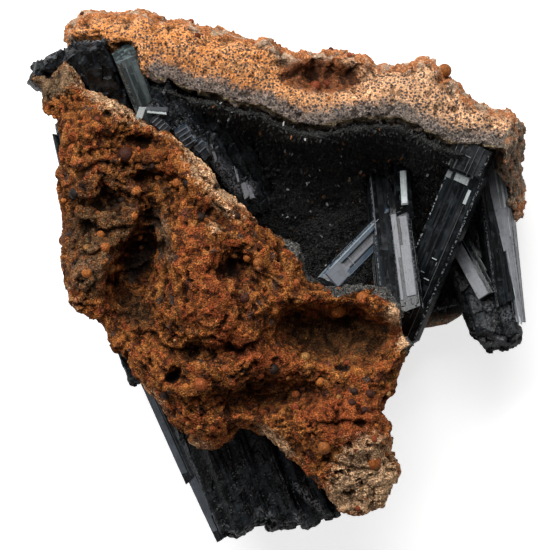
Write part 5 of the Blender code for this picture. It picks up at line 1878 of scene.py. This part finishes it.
@dataclass
class BrokenMass(Rock):
    """Crystals so grown together and broken that they make one hackly mass."""

    prisms: list[Prism] = field(default_factory=list)
    lights: list[Row] = field(default_factory=list)
    chipped: float = 1.0
    laths: float = 1.0

    def __post_init__(self) -> None:
        """Gathers the crystals' shafts."""
        gathered = CrystalMesh(self.seed)
        for prism in self.prisms:
            gathered.shaft(prism)
        self.shafts = gathered.to_mesh(self.name + "_shafts")

    def source(self) -> bpy.types.Mesh:
        """The mesh that is refined."""
        return self.shafts

    def grain(self, points: np.ndarray) -> np.ndarray:
        """Points in the first crystal's frame, one a row."""
        return points @ np.array(self.prisms[0].frame().to_3x3())

    def relief(self, mesh: bpy.types.Mesh) -> np.ndarray:
        """Splits the mass into laths, chips it and leaves its ends ragged.

        Args:
            mesh: The refined mesh.

        Returns:
            Where each point goes.
        """
        points, normals = read_points(mesh), read_normals(mesh)
        noise, turned = self.noise, self.grain(points)
        ends = np.abs(self.grain(normals)[:, 2])
        drawn = turned * (1.0, 1.0, 0.09)
        laths = 0.6 * self.laths * (noise.grains(drawn, 1.6, 10)[2] - 0.5)
        blades = self.laths * noise.facets(drawn, 2.4, 0.24, 20)
        chips = self.chipped * (noise.facets(points, 3.4, 0.24, 30) + noise.facets(points, 1.5, 0.10, 34))
        ragged = 1.3 * (noise.grains(turned * (1.0, 1.0, 0.02), 1.9, 50)[2] - 0.6)
        lift = (laths + blades) * (1.0 - ends) + chips + ragged * step(0.4, 0.8, ends)
        return points + normals * lift[:, None]

    def dress(self, mesh: bpy.types.Mesh) -> None:
        """Keeps what the finish reads, from the nearest crystal's faces and the lit places.

        Args:
            mesh: The mass's mesh.
        """
        mesh.shade_flat()
        shafts = self.shafts
        faces = [face.vertices[:] for face in shafts.polygons]
        tree = BVHTree.FromPolygons([vert.co[:] for vert in shafts.vertices], faces)
        nearest = [tree.find_nearest(vert.co)[2] for vert in mesh.vertices]
        points = read_points(mesh)
        for name in LOOKS:
            values = np.empty(len(faces), dtype=np.float32)
            shafts.attributes[name].data.foreach_get("value", values)
            values = values[nearest]
            # The lit places add painted sheen and highlight.
            if name == "painted_sheen":
                lights = [Patch(*oval, flatness=2.0) for oval in self.lights]
                values += np.clip(patched(lights, points), 0.0, 1.0)
            store(mesh, name, values)
        grain = mesh.attributes.new("grain", "FLOAT_VECTOR", "POINT")
        grain.data.foreach_set("vector", self.grain(points).astype(np.float32).ravel())


@dataclass
class OoidRow:
    """Single ooids that lie in plain sight: place, radius and tint."""

    name: str
    slot: str
    balls: list[Row]
    sunk: float = 0.45

    def build(self, rock: bpy.types.Object, finish: bpy.types.Material) -> bpy.types.Object:
        """Sets the ooids into a rock.

        Args:
            rock: The rock.
            finish: Their material.

        Returns:
            The piece.
        """
        tree = BVHTree.FromObject(rock, bpy.context.evaluated_depsgraph_get())
        edit = bmesh.new()
        tint = edit.verts.layers.float.new("tint")
        for x, y, radius, shade in self.balls:
            spot = tree.ray_cast(Vector((x * MM, y * MM, 0.1)), Vector((0.0, 0.0, -1.0)))[0]
            if spot is None:
                continue
            ball = bmesh.ops.create_icosphere(edit, subdivisions=3, radius=radius * MM)["verts"]
            centre = spot - Vector((0.0, 0.0, radius * MM * self.sunk))
            for vert in ball:
                vert[tint] = shade
                vert.co += centre
        mesh = bpy.data.meshes.new(self.name)
        edit.to_mesh(mesh)
        edit.free()
        smooth_faces(mesh)
        mesh.materials.append(finish)
        piece = new_object(self.name, mesh)
        present(piece)
        return piece


@dataclass(frozen=True)
class Floor:
    """The pale floor that the specimen lies on."""

    colour: Triple = (0.85, 0.85, 0.85)
    shade: Triple = (0.84, 0.84, 0.84)
    glow: float = 0.66
    half: float = 2.5

    def build(self) -> None:
        """Lays the floor just under the resting face."""
        mesh = bpy.data.meshes.new("floor")
        corners = [(x * self.half, y * self.half, 0.0) for x, y in ((-1, -1), (1, -1), (1, 1), (-1, 1))]
        mesh.from_pydata(corners, [], [(0, 1, 2, 3)])
        sheet = FinishSheet("floor_paper")
        tooth = sheet.noise(sheet.place(), 2.0, 3.0)
        rough = sheet.rise(tooth, 0.0, 1.0, 0.85, 0.95)
        colour = sheet.mix(tooth, self.colour, self.shade)
        mesh.materials.append(sheet.finish(colour, rough, tooth, 0.01, 0.5))
        seen = sheet.add("ShaderNodeLightPath").outputs["Is Camera Ray"]
        glow = sheet.math("MULTIPLY", seen, self.glow)
        sheet.feed(sheet.shader, {"Emission Color": WHITE, "Emission Strength": glow})
        new_object("floor", mesh)


# Each soft light: azimuth, elevation, distance, size and radiance.
SOFTBOXES = {
    "key": (110.0, 46.0, 1.1, (1.0, 0.75), 7.0),
    "fill_left": (190.0, 30.0, 1.2, (0.5, 0.5), 1.8),
    "fill_right": (15.0, 30.0, 1.2, (0.5, 0.5), 2.2),
}


@dataclass(frozen=True)
class Studio:
    """Camera, lights and the light that comes from all round."""

    camera_height: float = 1.2
    level: float = 0.035
    view_width: float = 0.12375
    sensor: float = 36.0
    ambient: float = 0.10
    backdrop: float = 0.95

    def camera(self) -> None:
        """Sets the camera straight above the specimen."""
        data = bpy.data.cameras.new("camera")
        data.sensor_width = self.sensor
        data.lens = self.sensor * (self.camera_height - self.level) / self.view_width
        data.clip_start = 0.05
        made = bpy.data.objects.new("camera", data)
        made.location = (0.0, 0.0, self.camera_height)
        bpy.context.scene.collection.objects.link(made)
        bpy.context.scene.camera = made

    def softbox(
        self, name: str, azimuth: float, elevation: float, distance: float, size: Pair, radiance: float
    ) -> None:
        """Adds a rectangular soft light that points at the specimen.

        Args:
            name: Its name.
            azimuth: Degrees from +X, towards +Y.
            elevation: Degrees above the floor.
            distance: How far away it is, in metres.
            size: Its width and height in metres.
            radiance: How bright its face is.
        """
        data = bpy.data.lights.new(name, "AREA")
        data.shape = "RECTANGLE"
        data.size, data.size_y = size
        data.energy = radiance * math.pi * size[0] * size[1]
        made = bpy.data.objects.new(name, data)
        turn, rise = math.radians(azimuth), math.radians(elevation)
        aim = Vector((math.cos(turn) * math.cos(rise), math.sin(turn) * math.cos(rise), math.sin(rise)))
        made.location = aim * distance + Vector((0.0, 0.0, self.level))
        made.rotation_euler = aim.to_track_quat("Z", "Y").to_euler()
        bpy.context.scene.collection.objects.link(made)

    def surroundings(self) -> None:
        """Makes the light from all round, with a pale backdrop behind everything."""
        world = bpy.data.worlds.new("studio")
        world.use_nodes = True
        bpy.context.scene.world = world
        sheet = NodeSheet(world.node_tree)
        seen = sheet.add("ShaderNodeLightPath").outputs["Is Camera Ray"]
        light = sheet.rise(seen, 0.0, 1.0, self.ambient, self.backdrop)
        sheet.feed(world.node_tree.nodes["Background"], {"Strength": light, "Color": WHITE})

    def build(self) -> None:
        """Sets up the whole studio."""
        self.camera()
        for name, box in SOFTBOXES.items():
            self.softbox(name, *box)
        self.surroundings()
        bpy.context.scene.view_settings.view_transform = "Standard"


def main() -> None:
    """Builds the studio and every piece of the specimen."""
    logging.basicConfig(level=logging.INFO, format="%(name)s: %(message)s")
    Studio().build()
    Floor().build()
    rusty, speckled = RustyLimonite().make(), SpeckledLimonite().make()
    druse, waxy, dark = BlackDruse().make(), OoidSkin().make(), Vivianite().make()
    broken, green = BROKEN_VIVIANITE.make(), GREEN_VIVIANITE.make()

    slab = FrontSlab("front_slab", 0.40, 175000, 3, name="slab_rock").build(rusty, "limonite")
    wall = BackWall("back_wall", 0.46, 150000, 5, name="wall_rock").build(speckled, "speckled_limonite")
    crust = DruseCrust("druse_crust", 0.55, 40000, 7, name="crust").build(druse, "dark_crust")
    OoidRow("large_ooids", "limonite", SLAB_BALLS).build(slab, waxy)
    OoidRow("wall_balls", "speckled_limonite", WALL_BALLS).build(wall, waxy)
    OoidRow("druse_crumbs_and_glints", "limonite", DRUSE_CRUMBS_AND_GLINTS).build(crust, waxy)
    for scatter, rock, finish in (
        (SLAB_OOIDS, slab, waxy), (SLAB_GRIT, slab, rusty), (WALL_OOIDS, wall, waxy),
        (WALL_GRIT, wall, speckled), (DRUSE_POINTS, crust, druse), (LINING_CRUMBS, slab, druse),
    ):
        scatter.strew(rock, finish)
    for bundle in (LONG_CRYSTAL, MIDDLE_CRYSTALS, RIGHT_CRYSTALS, LOWER_EDGE, LEDGE_STUBS, EDGE_SPLINTER):
        bundle.build(dark)
    for mass in (
        BrokenMass("corner_crystals", 0.33, 12000, 14, 1, "corner_mass", CORNER_CRYSTALS,
                   CORNER_LIGHTS, 0.8, 0.6),
        BrokenMass("ledge_crystals", 0.33, 40000, 16, 1, "ledge_mass", LEDGE_CRYSTALS, LEDGE_LIGHTS, 0.7),
        BrokenMass("lower_crystals", 0.33, 60000, 17, 1, "lower_mass", LOWER_CRYSTALS, LOWER_LIGHTS, 0.4),
        BrokenMass("", 0.33, 6000, 19, 1, "right_stump", RIGHT_STUMP, STUMP_LIGHTS, 0.6, 0.5),
    ):
        mass.build(broken, "vivianite")
    GREEN_CRYSTAL.build(green)


if __name__ == "__main__":
    main()
